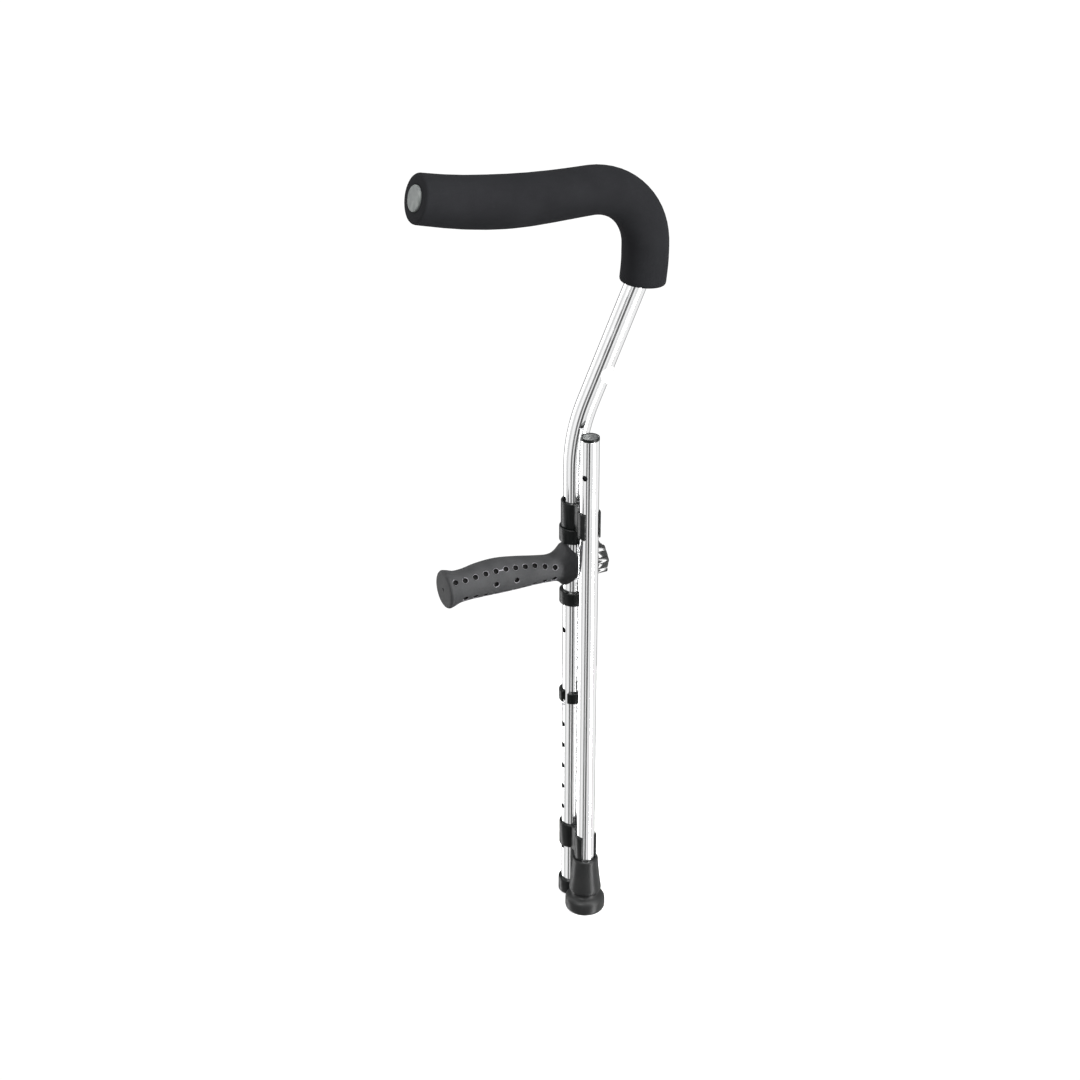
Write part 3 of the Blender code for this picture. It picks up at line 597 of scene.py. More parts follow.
    @classmethod
    def soften(
        cls, piece: bpy.types.Object, width: float, segments: int = 3, angle: float = 40.0
    ) -> None:
        """Round every edge sharper than an angle."""
        modifier = piece.modifiers.new("soften", "BEVEL")
        modifier.width = width * MM
        modifier.segments = segments
        modifier.limit_method = "ANGLE"
        modifier.angle_limit = math.radians(angle)
        modifier.use_clamp_overlap = True
        cls.pick(piece)
        bpy.ops.object.modifier_apply(modifier=modifier.name)

    @classmethod
    def copied(cls, piece: bpy.types.Object, place: Matrix) -> bpy.types.Object:
        """Copy a piece with its own mesh and move the copy."""
        copy = piece.copy()
        copy.data = piece.data.copy()
        bpy.context.scene.collection.objects.link(copy)
        copy.matrix_world = place
        cls.pick(copy)
        bpy.ops.object.transform_apply(location=True, rotation=True, scale=True)
        return copy

    @classmethod
    def joined(cls, pieces: Sequence[bpy.types.Object], name: str) -> bpy.types.Object:
        """Join pieces into the first of them."""
        cls.pick(pieces[0])
        for piece in pieces:
            piece.select_set(True)
        if len(pieces) > 1:
            bpy.ops.object.join()
        pieces[0].name = pieces[0].data.name = name
        return pieces[0]

    @classmethod
    def dress(cls, piece: bpy.types.Object, finishes: Sequence[Finish], angle: float = 35.0) -> None:
        """Shade a piece smooth up to an angle and give it its finishes."""
        cls.pick(piece)
        bpy.ops.object.shade_smooth_by_angle(angle=math.radians(angle))
        piece.data.materials.clear()
        for finish in finishes:
            piece.data.materials.append(finish.material())

    @staticmethod
    def paint(piece: bpy.types.Object, index: int, test: Callable[[Vector, Vector], bool]) -> None:
        """Give one of the finishes to faces whose corners all pass a test of place and normal."""
        places = [vertex.co / MM for vertex in piece.data.vertices]
        for face in piece.data.polygons:
            if all(test(places[i], face.normal) for i in face.vertices):
                face.material_index = index

    @staticmethod
    def fit(piece: bpy.types.Object, body: Body, slot: Slot, *nodes: str) -> None:
        """Put a piece on its body in place of CAD nodes and report it."""
        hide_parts(*nodes)
        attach(piece, body.value)
        LOG.info("%s: %d faces on %s", piece.name, len(piece.data.polygons), body.value)


def arc(centre: Pair, radius: float, start: float, stop: float, steps: int) -> list[Pair]:
    """Give points along a circle's arc, angles in radians and both ends included."""
    turns = [start + (stop - start) * i / steps for i in range(steps + 1)]
    return [(centre[0] + radius * math.cos(a), centre[1] + radius * math.sin(a)) for a in turns]


def lip(inner: float, outer: float, side: float, turn: float) -> list[Pair]:
    """Round the end of a C-shaped wall, at the angle side, by a half circle that starts at turn."""
    half = (outer - inner) / 2
    centre = ((inner + half) * math.cos(side), (inner + half) * math.sin(side))
    return arc(centre, half, turn, turn + math.pi, 8)[1:-1]


@dataclass(frozen=True)
class NeckPath:
    """The gooseneck's centre line: straight runs joined by round bends, in X and Z."""

    start: Pair = (0.0, 457.0)
    corners: tuple[Triple, ...] = (
        # place in X and Z, radius of the bend
        (0.0, 542.0, 160.0), (74.5, 707.0, 80.0), (74.5, 786.0, 61.0), (-93.0, 786.0, 520.0),
    )
    end: Pair = (-162.0, 804.0)
    step: float = math.radians(2.5)

    def points(self) -> list[Vector]:
        """Give the line's points, close together round the bends."""
        stops = [Vector(self.start), *(Vector(c[:2]) for c in self.corners), Vector(self.end)]
        line = [stops[0]]
        for i, corner in enumerate(self.corners):
            here = stops[i + 1]
            before, after = (stops[i] - here).normalized(), (stops[i + 2] - here).normalized()
            turn = math.pi - before.angle(after)
            centre = here + (before + after).normalized() * corner[2] / math.cos(turn / 2)
            first = here + before * corner[2] * math.tan(turn / 2) - centre
            side = 1.0 if after.x * before.y - after.y * before.x > 0 else -1.0
            count = max(4, math.ceil(turn / self.step))
            turns = [side * turn * k / count for k in range(count + 1)]
            line += [centre + Matrix.Rotation(angle, 2) @ first for angle in turns]
        return [*line, stops[-1]]

    def spaced(
        self, step: float, start: float = 0.0, trim: float = 0.0
    ) -> list[tuple[float, Vector, float]]:
        """Give evenly spaced (length, place, lean) along the line.

        Args:
            step: The spacing.
            start: Length to leave out at the start.
            trim: Length to leave out at the end.

        Returns:
            The running length from the line's start, the place and the lean from +Z towards +X.
        """
        line = self.points()
        lengths = np.concatenate([[0.0], np.cumsum([(b - a).length for a, b in zip(line, line[1:])])])
        count = max(2, round((lengths[-1] - start - trim) / step))
        along = np.linspace(start, lengths[-1] - trim, count + 1)
        flat = np.array([tuple(p) for p in line])

        def at(s: float) -> Vector:
            """Give the place at a length."""
            return Vector((np.interp(s, lengths, flat[:, 0]), np.interp(s, lengths, flat[:, 1])))

        found = []
        for s in along:
            a, b = at(max(s - 2.0, 0.0)), at(min(s + 2.0, lengths[-1]))
            found.append((float(s), at(s), math.atan2(b.x - a.x, b.y - a.y)))
        return found

    def paint_bore(self, piece: bpy.types.Object) -> None:
        """Give every face that doesn't look away from the line the piece's second finish, the bore's
        painted shade.
        """
        centres = np.array([(p.x, TUBE_Y, p.y) for _, p, _ in self.spaced(2.0)])

        def inward(place: Vector, normal: Vector) -> bool:
            """Whether a face turns inwards at a corner."""
            off = np.array(tuple(place)) - centres
            nearest = off[(off ** 2).sum(axis=1).argmin()]
            return float(nearest @ np.array(tuple(normal))) < 0.5 * float(np.linalg.norm(nearest))

        Bench.paint(piece, 1, inward)

    def straighten(self, piece: bpy.types.Object) -> None:
        """Store each vertex's place on the tube as if it were straight, for the draw lines."""
        stations = self.spaced(2.0)
        centres = np.array([tuple(p) for _, p, _ in stations]) * MM
        leans = np.array([lean for _, _, lean in stations])
        lengths = np.array([s for s, _, _ in stations]) * MM
        co = np.array([v.co for v in piece.data.vertices])
        flat = co[:, [0, 2]]
        near = ((flat[:, None, :] - centres[None, :, :]) ** 2).sum(axis=2).argmin(axis=1)
        off = flat - centres[near]
        sin, cos = np.sin(leans[near]), np.cos(leans[near])
        across = off[:, 0] * cos - off[:, 1] * sin
        ahead = off[:, 0] * sin + off[:, 1] * cos
        drawn = np.stack([across, co[:, 1] - TUBE_Y * MM, lengths[near] + ahead], axis=1)
        layer = piece.data.attributes.new("straightened", "FLOAT_VECTOR", "POINT")
        layer.data.foreach_set("vector", drawn.astype(np.float32).ravel())


NECK = NeckPath()


# ---------------------------------------------------------------- sub-assemblies


@dataclass
class Tubes:
    """The straight main tube, the gooseneck and the lower leg."""

    sides: int = 96
    main_span: Pair = (5.0, 456.7)
    leg_span: Pair = (14.6, LEG_TOP)
    row_pitch: float = 25.4
    row_count: int = 8
    grip_holes: tuple[float, ...] = (326.0, 363.0, 400.0, 437.0)
    neck_hole: float = 474.0
    hole_r: float = 3.0

    @staticmethod
    def cross_rod(z: float, radius: float, through: bool = True) -> bpy.types.Object:
        """Make a rod along X that cuts both walls of the main tube, or its front wall only."""
        far = 2 * MAIN_R
        return Bench.rod((-far, TUBE_Y, z), (far if through else 0.0, TUBE_Y, z), radius)

    def straight(self, name: str, y: float, radius: float, span: Pair) -> bpy.types.Object:
        """Make a straight tube with a wall and broken end edges."""
        low, high = span
        inner = radius - WALL
        profile = (
            (inner, low + 0.2), (inner + 0.2, low), (radius - 0.3, low), (radius, low + 0.3),
            (radius, high - 0.3), (radius - 0.3, high), (inner + 0.2, high), (inner, high - 0.2),
        )
        return Bench.turned(name, profile, Axis((0.0, y, 0.0)), self.sides)

    @staticmethod
    def finish(tube: bpy.types.Object, y: float, span: Pair) -> None:
        """Give a straight tube its drawn skin, and its bore and hole walls a painted shade."""

        def inward(place: Vector, normal: Vector) -> bool:
            """Whether a face turns inwards, away from the tube's ends."""
            off = Vector((place.x, place.y - y))
            return span[0] + 1.0 < place.z < span[1] - 1.0 and off.dot(normal.xy) < 0.5 * off.length

        Bench.dress(tube, [STRAIGHT_TUBE, TUBE_BORE_SHADE])
        Bench.paint(tube, 1, inward)

    def main_tube(self) -> None:
        """Make the main tube with its row of adjusting holes and the grip's cross holes."""
        tube = self.straight("main_tube_finished", TUBE_Y, MAIN_R, self.main_span)
        row = [CATCH_Z - i * self.row_pitch for i in range(self.row_count)]
        rods = [self.cross_rod(z, self.hole_r, False) for z in row]
        rods += [self.cross_rod(z, self.hole_r + GAP) for z in self.grip_holes]
        Bench.cut(tube, Bench.joined(rods, "holes"))
        self.finish(tube, TUBE_Y, self.main_span)
        Bench.fit(tube, Body.FRAME, Slot.ALUMINIUM, "main_tube")

    def gooseneck(self) -> None:
        """Make the bent upper tube with its bore and its one cross hole."""
        outside = [Ring(p.x, p.y, MAIN_R, lean) for _, p, lean in NECK.spaced(7.0)]
        inside = [Ring(r.x, r.z, MAIN_R - WALL, r.lean) for r in reversed(outside)]
        tube = Bench.sleeve("gooseneck_finished", outside + inside, 72, True)
        Bench.cut(tube, self.cross_rod(self.neck_hole, self.hole_r))
        NECK.straighten(tube)
        # The second finish is the bore's painted shade.
        Bench.dress(tube, [BENT_TUBE, TUBE_BORE_SHADE])
        NECK.paint_bore(tube)
        Bench.fit(tube, Body.FRAME, Slot.ALUMINIUM, "gooseneck_tube")

    def leg(self) -> None:
        """Make the lower leg with the through hole of its snap button."""
        tube = self.straight("leg_tube_finished", 0.0, LEG_R, self.leg_span)
        way = Vector((-math.sin(LEG_HOLE_TURN), -math.cos(LEG_HOLE_TURN), 0.0)) * 2 * LEG_R
        middle = Vector((0.0, 0.0, LEG_HOLE))
        Bench.cut(tube, Bench.rod(middle - way, middle + way, self.hole_r))
        self.finish(tube, 0.0, self.leg_span)
        Bench.fit(tube, Body.LEG, Slot.ALUMINIUM, "leg_tube")

    def build(self) -> None:
        """Make all three tubes."""
        self.main_tube()
        self.gooseneck()
        self.leg()


@dataclass
class UnderarmPad:
    """The foam sleeve on the gooseneck's arm and the grey cap in the arm's end."""

    path: NeckPath = NeckPath(
        start=(72.0, 686.0), corners=((74.2, 707.0, 150.0), *NECK.corners[2:]), end=(-162.97, 804.25)
    )
    low_radius: float = 22.6
    arm_radius: float = 23.0
    swell: float = 1.9
    bore: float = MAIN_R + GAP
    recess: float = 12.9
    recess_depth: float = 3.6
    rounding: tuple[Pair, ...] = ((0.0, 3.0), (0.3, 1.8), (0.9, 0.9), (1.8, 0.3), (3.2, 0.0))

    def radius(self, x: float, share: float) -> float:
        """Give the foam's radius at a place and share of its length."""
        if share < 0.35:
            return self.low_radius + 1.2 * share
        return self.arm_radius + self.swell * math.exp(-(((x + 80.0) / 62.0) ** 2))

    def loss(self, distance: float) -> float:
        """Give the radius lost so far from an end."""
        return float(np.interp(distance, *zip(*self.rounding)))

    def rings(self) -> list[Ring]:
        """Give the rings of the foam's outside, close together at its two rounded ends."""
        line = np.array([(s, p.x, p.y, lean) for s, p, lean in self.path.spaced(0.5)])
        total = float(line[-1, 0])
        ends = [distance for distance, _ in self.rounding]
        middle = np.arange(ends[-1] + 4.0, total - ends[-1] - 3.0, 6.0)
        found = []
        for s in sorted([*ends, *middle, *(total - distance for distance in ends)]):
            x, z, lean = (float(np.interp(s, line[:, 0], line[:, i])) for i in (1, 2, 3))
            radius = self.radius(x, s / total) - self.loss(s) - self.loss(total - s)
            found.append(Ring(x, z, radius, lean))
        return found

    def foam(self) -> None:
        """Make the foam with slow dents, then cut it to fit the tube and the cap."""
        rings = self.rings()
        sleeve = Bench.sleeve("underarm_foam_finished", rings, 72, False)
        texture = bpy.data.textures.new("foam_dents", "CLOUDS")
        texture.noise_scale = 0.045
        dents = sleeve.modifiers.new("dents", "DISPLACE")
        dents.texture = texture
        dents.texture_coords = "GLOBAL"
        dents.strength = 0.45 * MM
        Bench.pick(sleeve)
        bpy.ops.object.modifier_apply(modifier=dents.name)
        inside = [Ring(p.x, p.y, self.bore, lean) for _, p, lean in NECK.spaced(6.0, 200.0, -8.0)]
        Bench.cut(sleeve, Bench.sleeve("bore", inside, 72, False))
        last = rings[-1]
        way = Vector((math.sin(last.lean), 0.0, math.cos(last.lean)))
        mouth = Vector((last.x, TUBE_Y, last.z))
        Bench.cut(sleeve, Bench.rod(mouth - way * self.recess_depth, mouth + way * 9.0, self.recess, 72))
        Bench.dress(sleeve, [PAD_FOAM], 50.0)
        Bench.fit(sleeve, Body.FRAME, Slot.FOAM, "underarm_foam")

    def cap(self) -> None:
        """Make the push-in cap with a shallow dished face."""
        _, end, lean = NECK.spaced(2.0)[-1]
        way = (math.sin(lean), 0.0, math.cos(lean))
        foot = (end.x + way[0] * 1.3, TUBE_Y, end.y + way[2] * 1.3)
        profile = (
            (0.0, 1.15), (6.0, 1.2), (9.4, 1.45), (10.4, 1.6), (11.3, 1.55), (11.9, 1.2), (12.3, 0.6),
            (12.4, 0.0), (12.4, -0.6), (11.9, -0.9), (9.4, -0.9), (9.4, -9.0), (8.6, -10.0),
            (7.2, -10.0), (7.2, -1.4), (0.0, -1.4),
        )
        cap = Bench.turned("pad_cap_finished", profile, Axis(foot, way))
        Bench.dress(cap, [CAP_GREY])
        Bench.fit(cap, Body.FRAME, Slot.GREY_PLASTIC, "pad_end_cap")

    def build(self) -> None:
        """Make the pad."""
        self.foam()
        self.cap()


@dataclass
class LegClips:
    """The two double clips: a ring on the main tube and a C jaw for the leg."""

    spans: tuple[tuple[str, float, float], ...] = (
        ("upper_clip", 443.5, 471.0), ("lower_clip", 64.0, 91.5),
    )
    ring_r: float = 13.4
    jaw_r: float = 11.5
    web_half: float = 6.5
    mouth: float = math.radians(53.0)
    edge: float = 0.7

    def outline(self) -> list[Pair]:
        """Give the outline round both tubes, seen from above."""
        inner = LEG_R + GAP
        web_jaw, web_ring = (math.asin(self.web_half / radius) for radius in (self.jaw_r, self.ring_r))
        right, left = -math.pi / 2 + self.mouth, 3 * math.pi / 2 - self.mouth
        line = arc((0.0, 0.0), self.jaw_r, right, math.pi / 2 - web_jaw, 20)
        line += arc((0.0, TUBE_Y), self.ring_r, -math.pi / 2 + web_ring, 3 * math.pi / 2 - web_ring, 60)
        line += arc((0.0, 0.0), self.jaw_r, math.pi / 2 + web_jaw, left, 20)
        line += lip(inner, self.jaw_r, left, left)
        line += arc((0.0, 0.0), inner, left, right, 48)
        return line + lip(inner, self.jaw_r, right, right - math.pi)

    def build(self) -> None:
        """Make both clips with rounded edges."""
        for name, low, high in self.spans:
            clip = Bench.prism(f"{name}_finished", self.outline(), low, high, (0.0, 0.0))
            bore = Bench.rod((0.0, TUBE_Y, low - 5.0), (0.0, TUBE_Y, high + 5.0), MAIN_R + GAP, 72)
            Bench.cut(clip, bore)
            Bench.soften(clip, self.edge)
            Bench.dress(clip, [CLIP_BLACK])
            Bench.fit(clip, Body.FRAME, Slot.BLACK_PLASTIC, name)


@dataclass
class TubeRings:
    """The rings above and below the grip, the bottom ferrule and the open locking collar."""

    grip_rings: tuple[tuple[str, float, float, float, float], ...] = (
        ("grip_ring_upper", 427.0, 443.2, 15.0, 437.0),
        ("grip_ring_lower", 357.0, 371.5, 14.5, 363.0),
    )
    ferrule_span: Pair = (3.2, 20.0)
    ferrule_r: float = 14.0
    ferrule_lip: float = 4.7
    collar_span: Pair = (242.6, 254.4)
    collar_r: float = 14.4
    collar_mouth: Pair = (math.radians(184.0), math.radians(222.0))

    @staticmethod
    def rounded(inner: float, outer: float, low: float, high: float, by: float) -> list[Pair]:
        """Give a ring's section with its outer edges rounded."""
        top = arc((outer - by, high - by), by, math.pi / 2, 0.0, 5)
        foot = arc((outer - by, low + by), by, 0.0, -math.pi / 2, 5)
        bore = ((inner, low + 0.3), (inner, high - 0.3), (inner + 0.3, high))
        return [*bore, *top, *foot, (inner + 0.3, low)]

    def build(self) -> None:
        """Make the rings, the ferrule and the collar."""
        inner = MAIN_R + GAP
        axis = Axis((0.0, TUBE_Y, 0.0))
        for name, low, high, outer, hole in self.grip_rings:
            ring = Bench.turned(f"{name}_finished", self.rounded(inner, outer, low, high, 1.1), axis)
            Bench.cut(ring, Bench.rod((-10.2, TUBE_Y, hole), (-12.6, TUBE_Y, hole), 2.7), "UNION")
            Bench.dress(ring, [CLIP_BLACK])
            Bench.fit(ring, Body.FRAME, Slot.BLACK_PLASTIC, name)
        low, high = self.ferrule_span
        outer, way_in, ledge = self.ferrule_r, LEG_R + GAP, self.ferrule_lip
        top = arc((outer - 1.0, high - 1.0), 1.0, math.pi / 2, 0.0, 5)
        foot = arc((outer - 1.2, low + 1.2), 1.2, 0.0, -math.pi / 2, 5)
        floor = ((way_in + 0.2, low), (way_in, low + 0.2), (way_in, ledge), (inner, ledge))
        profile = [(inner, high), *top, *foot, *floor]
        ferrule = Bench.turned("main_tube_ferrule_finished", profile, axis)
        Bench.dress(ferrule, [CLIP_BLACK])
        Bench.fit(ferrule, Body.FRAME, Slot.BLACK_PLASTIC, "main_tube_ferrule")
        self.collar()

    def collar(self) -> None:
        """Make the C collar with rounded lips."""
        inner, outer = MAIN_R + GAP, self.collar_r
        start, stop = self.collar_mouth
        line = arc((0.0, 0.0), outer, stop - 2 * math.pi, start, 72)
        line += lip(inner, outer, start, start)
        line += arc((0.0, 0.0), inner, start, stop - 2 * math.pi, 72)
        line += lip(inner, outer, stop, stop - math.pi)
        collar = Bench.prism("lock_collar_finished", line, *self.collar_span, (0.0, TUBE_Y))
        Bench.soften(collar, 0.8)
        Bench.dress(collar, [CLIP_BLACK])
        Bench.fit(collar, Body.COLLAR, Slot.BLACK_PLASTIC, "lock_collar")


@dataclass
class HandGrip:
    """The rubber grip: a saddle against the tube, a waisted handle and rows of blind holes."""

    length: float = 144.0
    core_end: Triple = (-132.6, TUBE_Y, 404.0)
    core_room: float = 9.6
    sides: int = 96
    saddle: tuple[tuple[float, float, float, float], ...] = (
        # distance from the tube's axis, centre height, half width, half height
        (1.6, 402.0, 13.0, 22.4), (2.3, 402.0, 13.6, 23.0), (3.4, 402.0, 13.9, 23.3),
        (8.0, 402.0, 13.9, 23.3), (12.2, 402.0, 13.9, 23.3), (13.4, 401.9, 13.9, 22.9),
        (14.6, 401.7, 13.9, 21.6), (16.0, 401.5, 13.9, 19.8), (18.0, 401.3, 13.9, 17.6),
        (20.5, 401.1, 13.9, 15.8), (23.0, 401.0, 13.9, 14.6), (26.0, 401.0, 13.9, 14.1),
        (30.0, 401.1, 13.9, 13.9),
    )
    stations: tuple[Triple, ...] = (
        # distance from the tube's axis, height of the centre line, radius
        (0.0, 400.0, 13.9), (30.0, 401.1, 13.9), (43.0, 402.6, 14.6), (64.0, 404.7, 16.5),
        (85.0, 406.3, 17.7), (107.0, 406.1, 17.0), (122.0, 404.8, 15.9), (131.0, 404.3, 16.4),
        (138.0, 404.3, 18.6), (144.0, 404.3, 19.8),
    )
    hole_pitch: float = 10.9
    hole_r: float = 2.7
    hole_depth: float = 3.2
    upper_row: tuple[float, int] = (136.2, 11)      # first hole's distance, count
    upper_lift: Triple = (44.0, 26.0, 9.0)          # degrees: the most, the last hole's, rise per hole
    lower_row: tuple[float, int] = (126.0, 10)
    lower_lift: Pair = (30.0, 20.0)                 # degrees below the side: at the ends, extra between
    end_dot: Triple = (1.8, 3.0, 5.0)               # radius, depth, reach outside
    singles: tuple[float, ...] = (94.4, 71.7)

    def station(self, d: float) -> Pair:
        """Give the centre line's height and the handle's radius at a distance from the tube."""
        table = np.array(self.stations)
        slopes = np.gradient(table[:, 1:], table[:, 0], axis=0)
        i = int(np.clip(np.searchsorted(table[:, 0], d) - 1, 0, len(table) - 2))
        width = table[i + 1, 0] - table[i, 0]
        t = (d - table[i, 0]) / width
        ends = (2 * t ** 3 - 3 * t ** 2 + 1) * table[i, 1:] + (3 * t ** 2 - 2 * t ** 3) * table[i + 1, 1:]
        leans = (t ** 3 - 2 * t ** 2 + t) * slopes[i] + (t ** 3 - t ** 2) * slopes[i + 1]
        height, radius = ends + leans * width
        return float(height), float(radius)

    def sections(self) -> list[tuple[float, float, float, float]]:
        """Give every section as distance, centre height, half width and half height."""
        found = list(self.saddle)
        for d in [*np.arange(35.0, 125.0, 5.0), *np.arange(126.0, 142.0, 1.7)]:
            height, radius = self.station(d)
            found.append((float(d), height, radius, radius))
        height, full = self.station(141.3)
        for d, loss in ((141.9, 0.2), (142.8, 0.8), (143.4, 1.7), (143.8, 2.9), (144.0, 4.7)):
            found.append((d, height, full - loss, full - loss))
        return found

    def blank(self) -> bpy.types.Object:
        """Extrude the oval sections along the grip."""
        sections = self.sections()
        d, z, half_y, half_z = sections[0]
        facing = (0.0, math.pi / 2, 0.0)
        grip = Bench.circle("hand_grip_finished", (-d, TUBE_Y, z), half_z, facing, self.sides)
        with Bench.editing(grip):
            bpy.ops.transform.resize(
                value=(1.0, half_y / half_z, 1.0), center_override=Vector((-d, TUBE_Y, z)) * MM
            )
            bpy.ops.mesh.edge_face_add()
            for before, after in zip(sections, sections[1:]):
                step = Vector((before[0] - after[0], 0.0, after[1] - before[1])) * MM
                bpy.ops.mesh.extrude_region_move(TRANSFORM_OT_translate={"value": step})
                centre = Vector((-after[0], TUBE_Y, after[1])) * MM
                grow = (1.0, after[2] / before[2], after[3] / before[3])
                bpy.ops.transform.resize(value=grow, center_override=centre)
            Bench.weld()
        return grip

    def hole_places(self) -> list[tuple[Vector, Vector]]:
        """Give each blind hole's mouth and its way out."""
        wanted = []
        first, count = self.upper_row
        most, last, rise = self.upper_lift
        for i in range(count):
            wanted.append((min(most, last + rise * (count - 1 - i)), first - i * self.hole_pitch))
        first, count = self.lower_row
        least, extra = self.lower_lift
        for i in range(count):
            lift = least + extra * math.sin(math.pi * i / (count - 1))
            wanted.append((-lift, first - i * self.hole_pitch))
        wanted += [(0.0, d) for d in self.singles]
        places = []
        for lift, d in wanted:
            turn = math.radians(lift)
            height, radius = self.station(d)
            for side in (-1.0, 1.0):
                way = Vector((0.0, side * math.cos(turn), math.sin(turn)))
                places.append((Vector((-d, TUBE_Y, height)) + way * radius, way))
        return places

    def build(self) -> None:
        """Cut the seat, the holes and the end dimple, and paint shade into the holes and a highlight onto
        their rims.
        """
        grip = self.blank()
        Bench.cut(grip, Bench.rod((0.0, TUBE_Y, 340.0), (0.0, TUBE_Y, 460.0), MAIN_R + GAP, 96))
        Bench.cut(grip, Bench.rod((-5.0, TUBE_Y, GRIP_Z), self.core_end, self.core_room, 48))
        profile = ((0.0, -self.hole_depth), (self.hole_r, -self.hole_depth), (self.hole_r, -0.75),
                   (self.hole_r + 0.7, 0.15), (self.hole_r + 0.7, 5.0), (0.0, 5.0))
        punch = Bench.turned("punch", profile, Axis((0.0, 0.0, 0.0)), 24)
        places = self.hole_places()
        up = Vector((0.0, 0.0, 1.0))
        punches = [
            Bench.copied(
                punch, Matrix.Translation(mouth * MM) @ up.rotation_difference(way).to_matrix().to_4x4()
            )
            for mouth, way in places
        ]
        bpy.data.objects.remove(punch, do_unlink=True)
        Bench.cut(grip, Bench.joined(punches, "punches"))
        height = self.station(self.length)[0]
        radius, depth, reach = self.end_dot
        ends = (depth - self.length, TUBE_Y, height), (-self.length - reach, TUBE_Y, height)
        Bench.cut(grip, Bench.rod(*ends, radius, 24))
        # The second finish is painted shade for the holes, the third a painted highlight for their rims.
        Bench.dress(grip, [GRIP_SKIN, GRIP_HOLE_SHADE, GRIP_RIM_HIGHLIGHT], 40.0)
        self.paint_hole_shade_and_rim_highlight(grip, places)
        Bench.fit(grip, Body.FRAME, Slot.GRIP_RUBBER, "grip_shell")

    def paint_hole_shade_and_rim_highlight(self, grip: bpy.types.Object, places: Sequence[tuple[Vector, Vector]]) -> None:
        """Find each hole's walls and rims by their distance from its axis, to paint shade into the holes
        and a highlight onto the rims.
        """
        mouths = np.array([tuple(m) for m, _ in places])
        ways = np.array([tuple(w) for _, w in places])

        def off_axis(place: Vector) -> tuple[float, float]:
            """Give the least distance from a hole's axis and the depth there."""
            gap = np.array(tuple(place)) - mouths
            depth = (gap * ways).sum(axis=1)
            off = np.linalg.norm(gap - depth[:, None] * ways, axis=1)
            off[np.abs(depth) > 4.5] = 99.0
            nearest = int(off.argmin())
            return float(off[nearest]), float(depth[nearest])

        def in_hole(place: Vector, _: Vector) -> bool:
            """Whether a corner lies on a hole's wall or floor."""
            off, depth = off_axis(place)
            return off < self.hole_r + 0.05 and depth < -0.70

        def on_rim(place: Vector, _: Vector) -> bool:
            """Whether a corner lies on a hole's sloping rim."""
            off, depth = off_axis(place)
            return self.hole_r - 0.1 < off < self.hole_r + 0.75 and -0.85 < depth < 0.3

        # The rims get a painted highlight, then the walls and floors of the holes get a painted shade.
        Bench.paint(grip, 2, on_rim)
        Bench.paint(grip, 1, in_hole)


@dataclass
class StarKnob:
    """The clamping knob behind the tube and the saddle block it pulls against."""

    radius: float = 17.0
    lobes: int = 7
    span: Pair = (19.5, 31.1)
    hub: tuple[Pair, ...] = (
        (0.0, 32.7), (5.0, 32.8), (8.2, 33.3), (9.0, 33.5), (11.4, 33.1), (13.4, 32.3), (14.3, 31.5),
        (14.8, 30.5), (14.8, 20.5), (10.5, 18.3), (9.5, 17.9), (9.0, 17.5), (0.0, 17.5),
    )
    block_r: float = 10.0
    block_span: Pair = (3.2, 15.6)
    stud_room: Triple = (10.0, 28.3, 3.3)       # from, to, radius

    def outline(self) -> list[Pair]:
        """Give the star's outline, full at the lobes and hollow between them."""
        count = self.lobes * 14
        line = []
        for i in range(count):
            turn = 2 * math.pi * i / count
            wave = math.cos(self.lobes * turn)
            reach = self.radius - 2.0 + 2.0 * math.copysign(abs(wave) ** 0.7, wave)
            line.append((reach * math.cos(turn), reach * math.sin(turn)))
        return line

    def build(self) -> None:
        """Make the star on its hub, then the saddle block."""
        middle = Matrix.Translation((0.0, TUBE_Y * MM, GRIP_Z * MM))
        across = middle @ Matrix.Rotation(math.pi / 2, 4, "Y")
        star = Bench.prism("star", self.outline(), *self.span, (0.0, 0.0))
        hub = Bench.turned("hub", self.hub, Axis((0.0, 0.0, 0.0)), 84)
        Bench.cut(star, hub, "UNION")
        Bench.soften(star, 0.9, 3, 45.0)
        knob = Bench.copied(star, across)
        bpy.data.objects.remove(star, do_unlink=True)
        near, far, radius = self.stud_room
        Bench.cut(knob, Bench.rod((near, TUBE_Y, GRIP_Z), (far, TUBE_Y, GRIP_Z), radius, 32))
        knob.name = knob.data.name = "star_knob_finished"
        Bench.dress(knob, [KNOB_BLACK], 40.0)
        Bench.fit(knob, Body.KNOB, Slot.BLACK_PLASTIC, "star_knob")
        self.block()

    def block(self) -> None:
        """Make the round block whose hollow face seats on the tube."""
        low, high = self.block_span
        radius = self.block_r
        profile = (
            (0.0, high), (radius - 0.8, high), (radius - 0.2, high - 0.2), (radius, high - 0.8),
            (radius, low), (0.0, low),
        )
        axis = Axis((0.0, TUBE_Y, GRIP_Z), (1.0, 0.0, 0.0))
        block = Bench.turned("knob_saddle_finished", profile, axis, 64)
        Bench.cut(block, Bench.rod((0.0, TUBE_Y, 380.0), (0.0, TUBE_Y, 420.0), MAIN_R + GAP, 96))
        Bench.cut(block, Bench.rod((0.0, TUBE_Y, GRIP_Z), (20.0, TUBE_Y, GRIP_Z), 3.4, 32))
        Bench.dress(block, [CLIP_BLACK])
        Bench.fit(block, Body.FRAME, Slot.BLACK_PLASTIC, "knob_saddle")


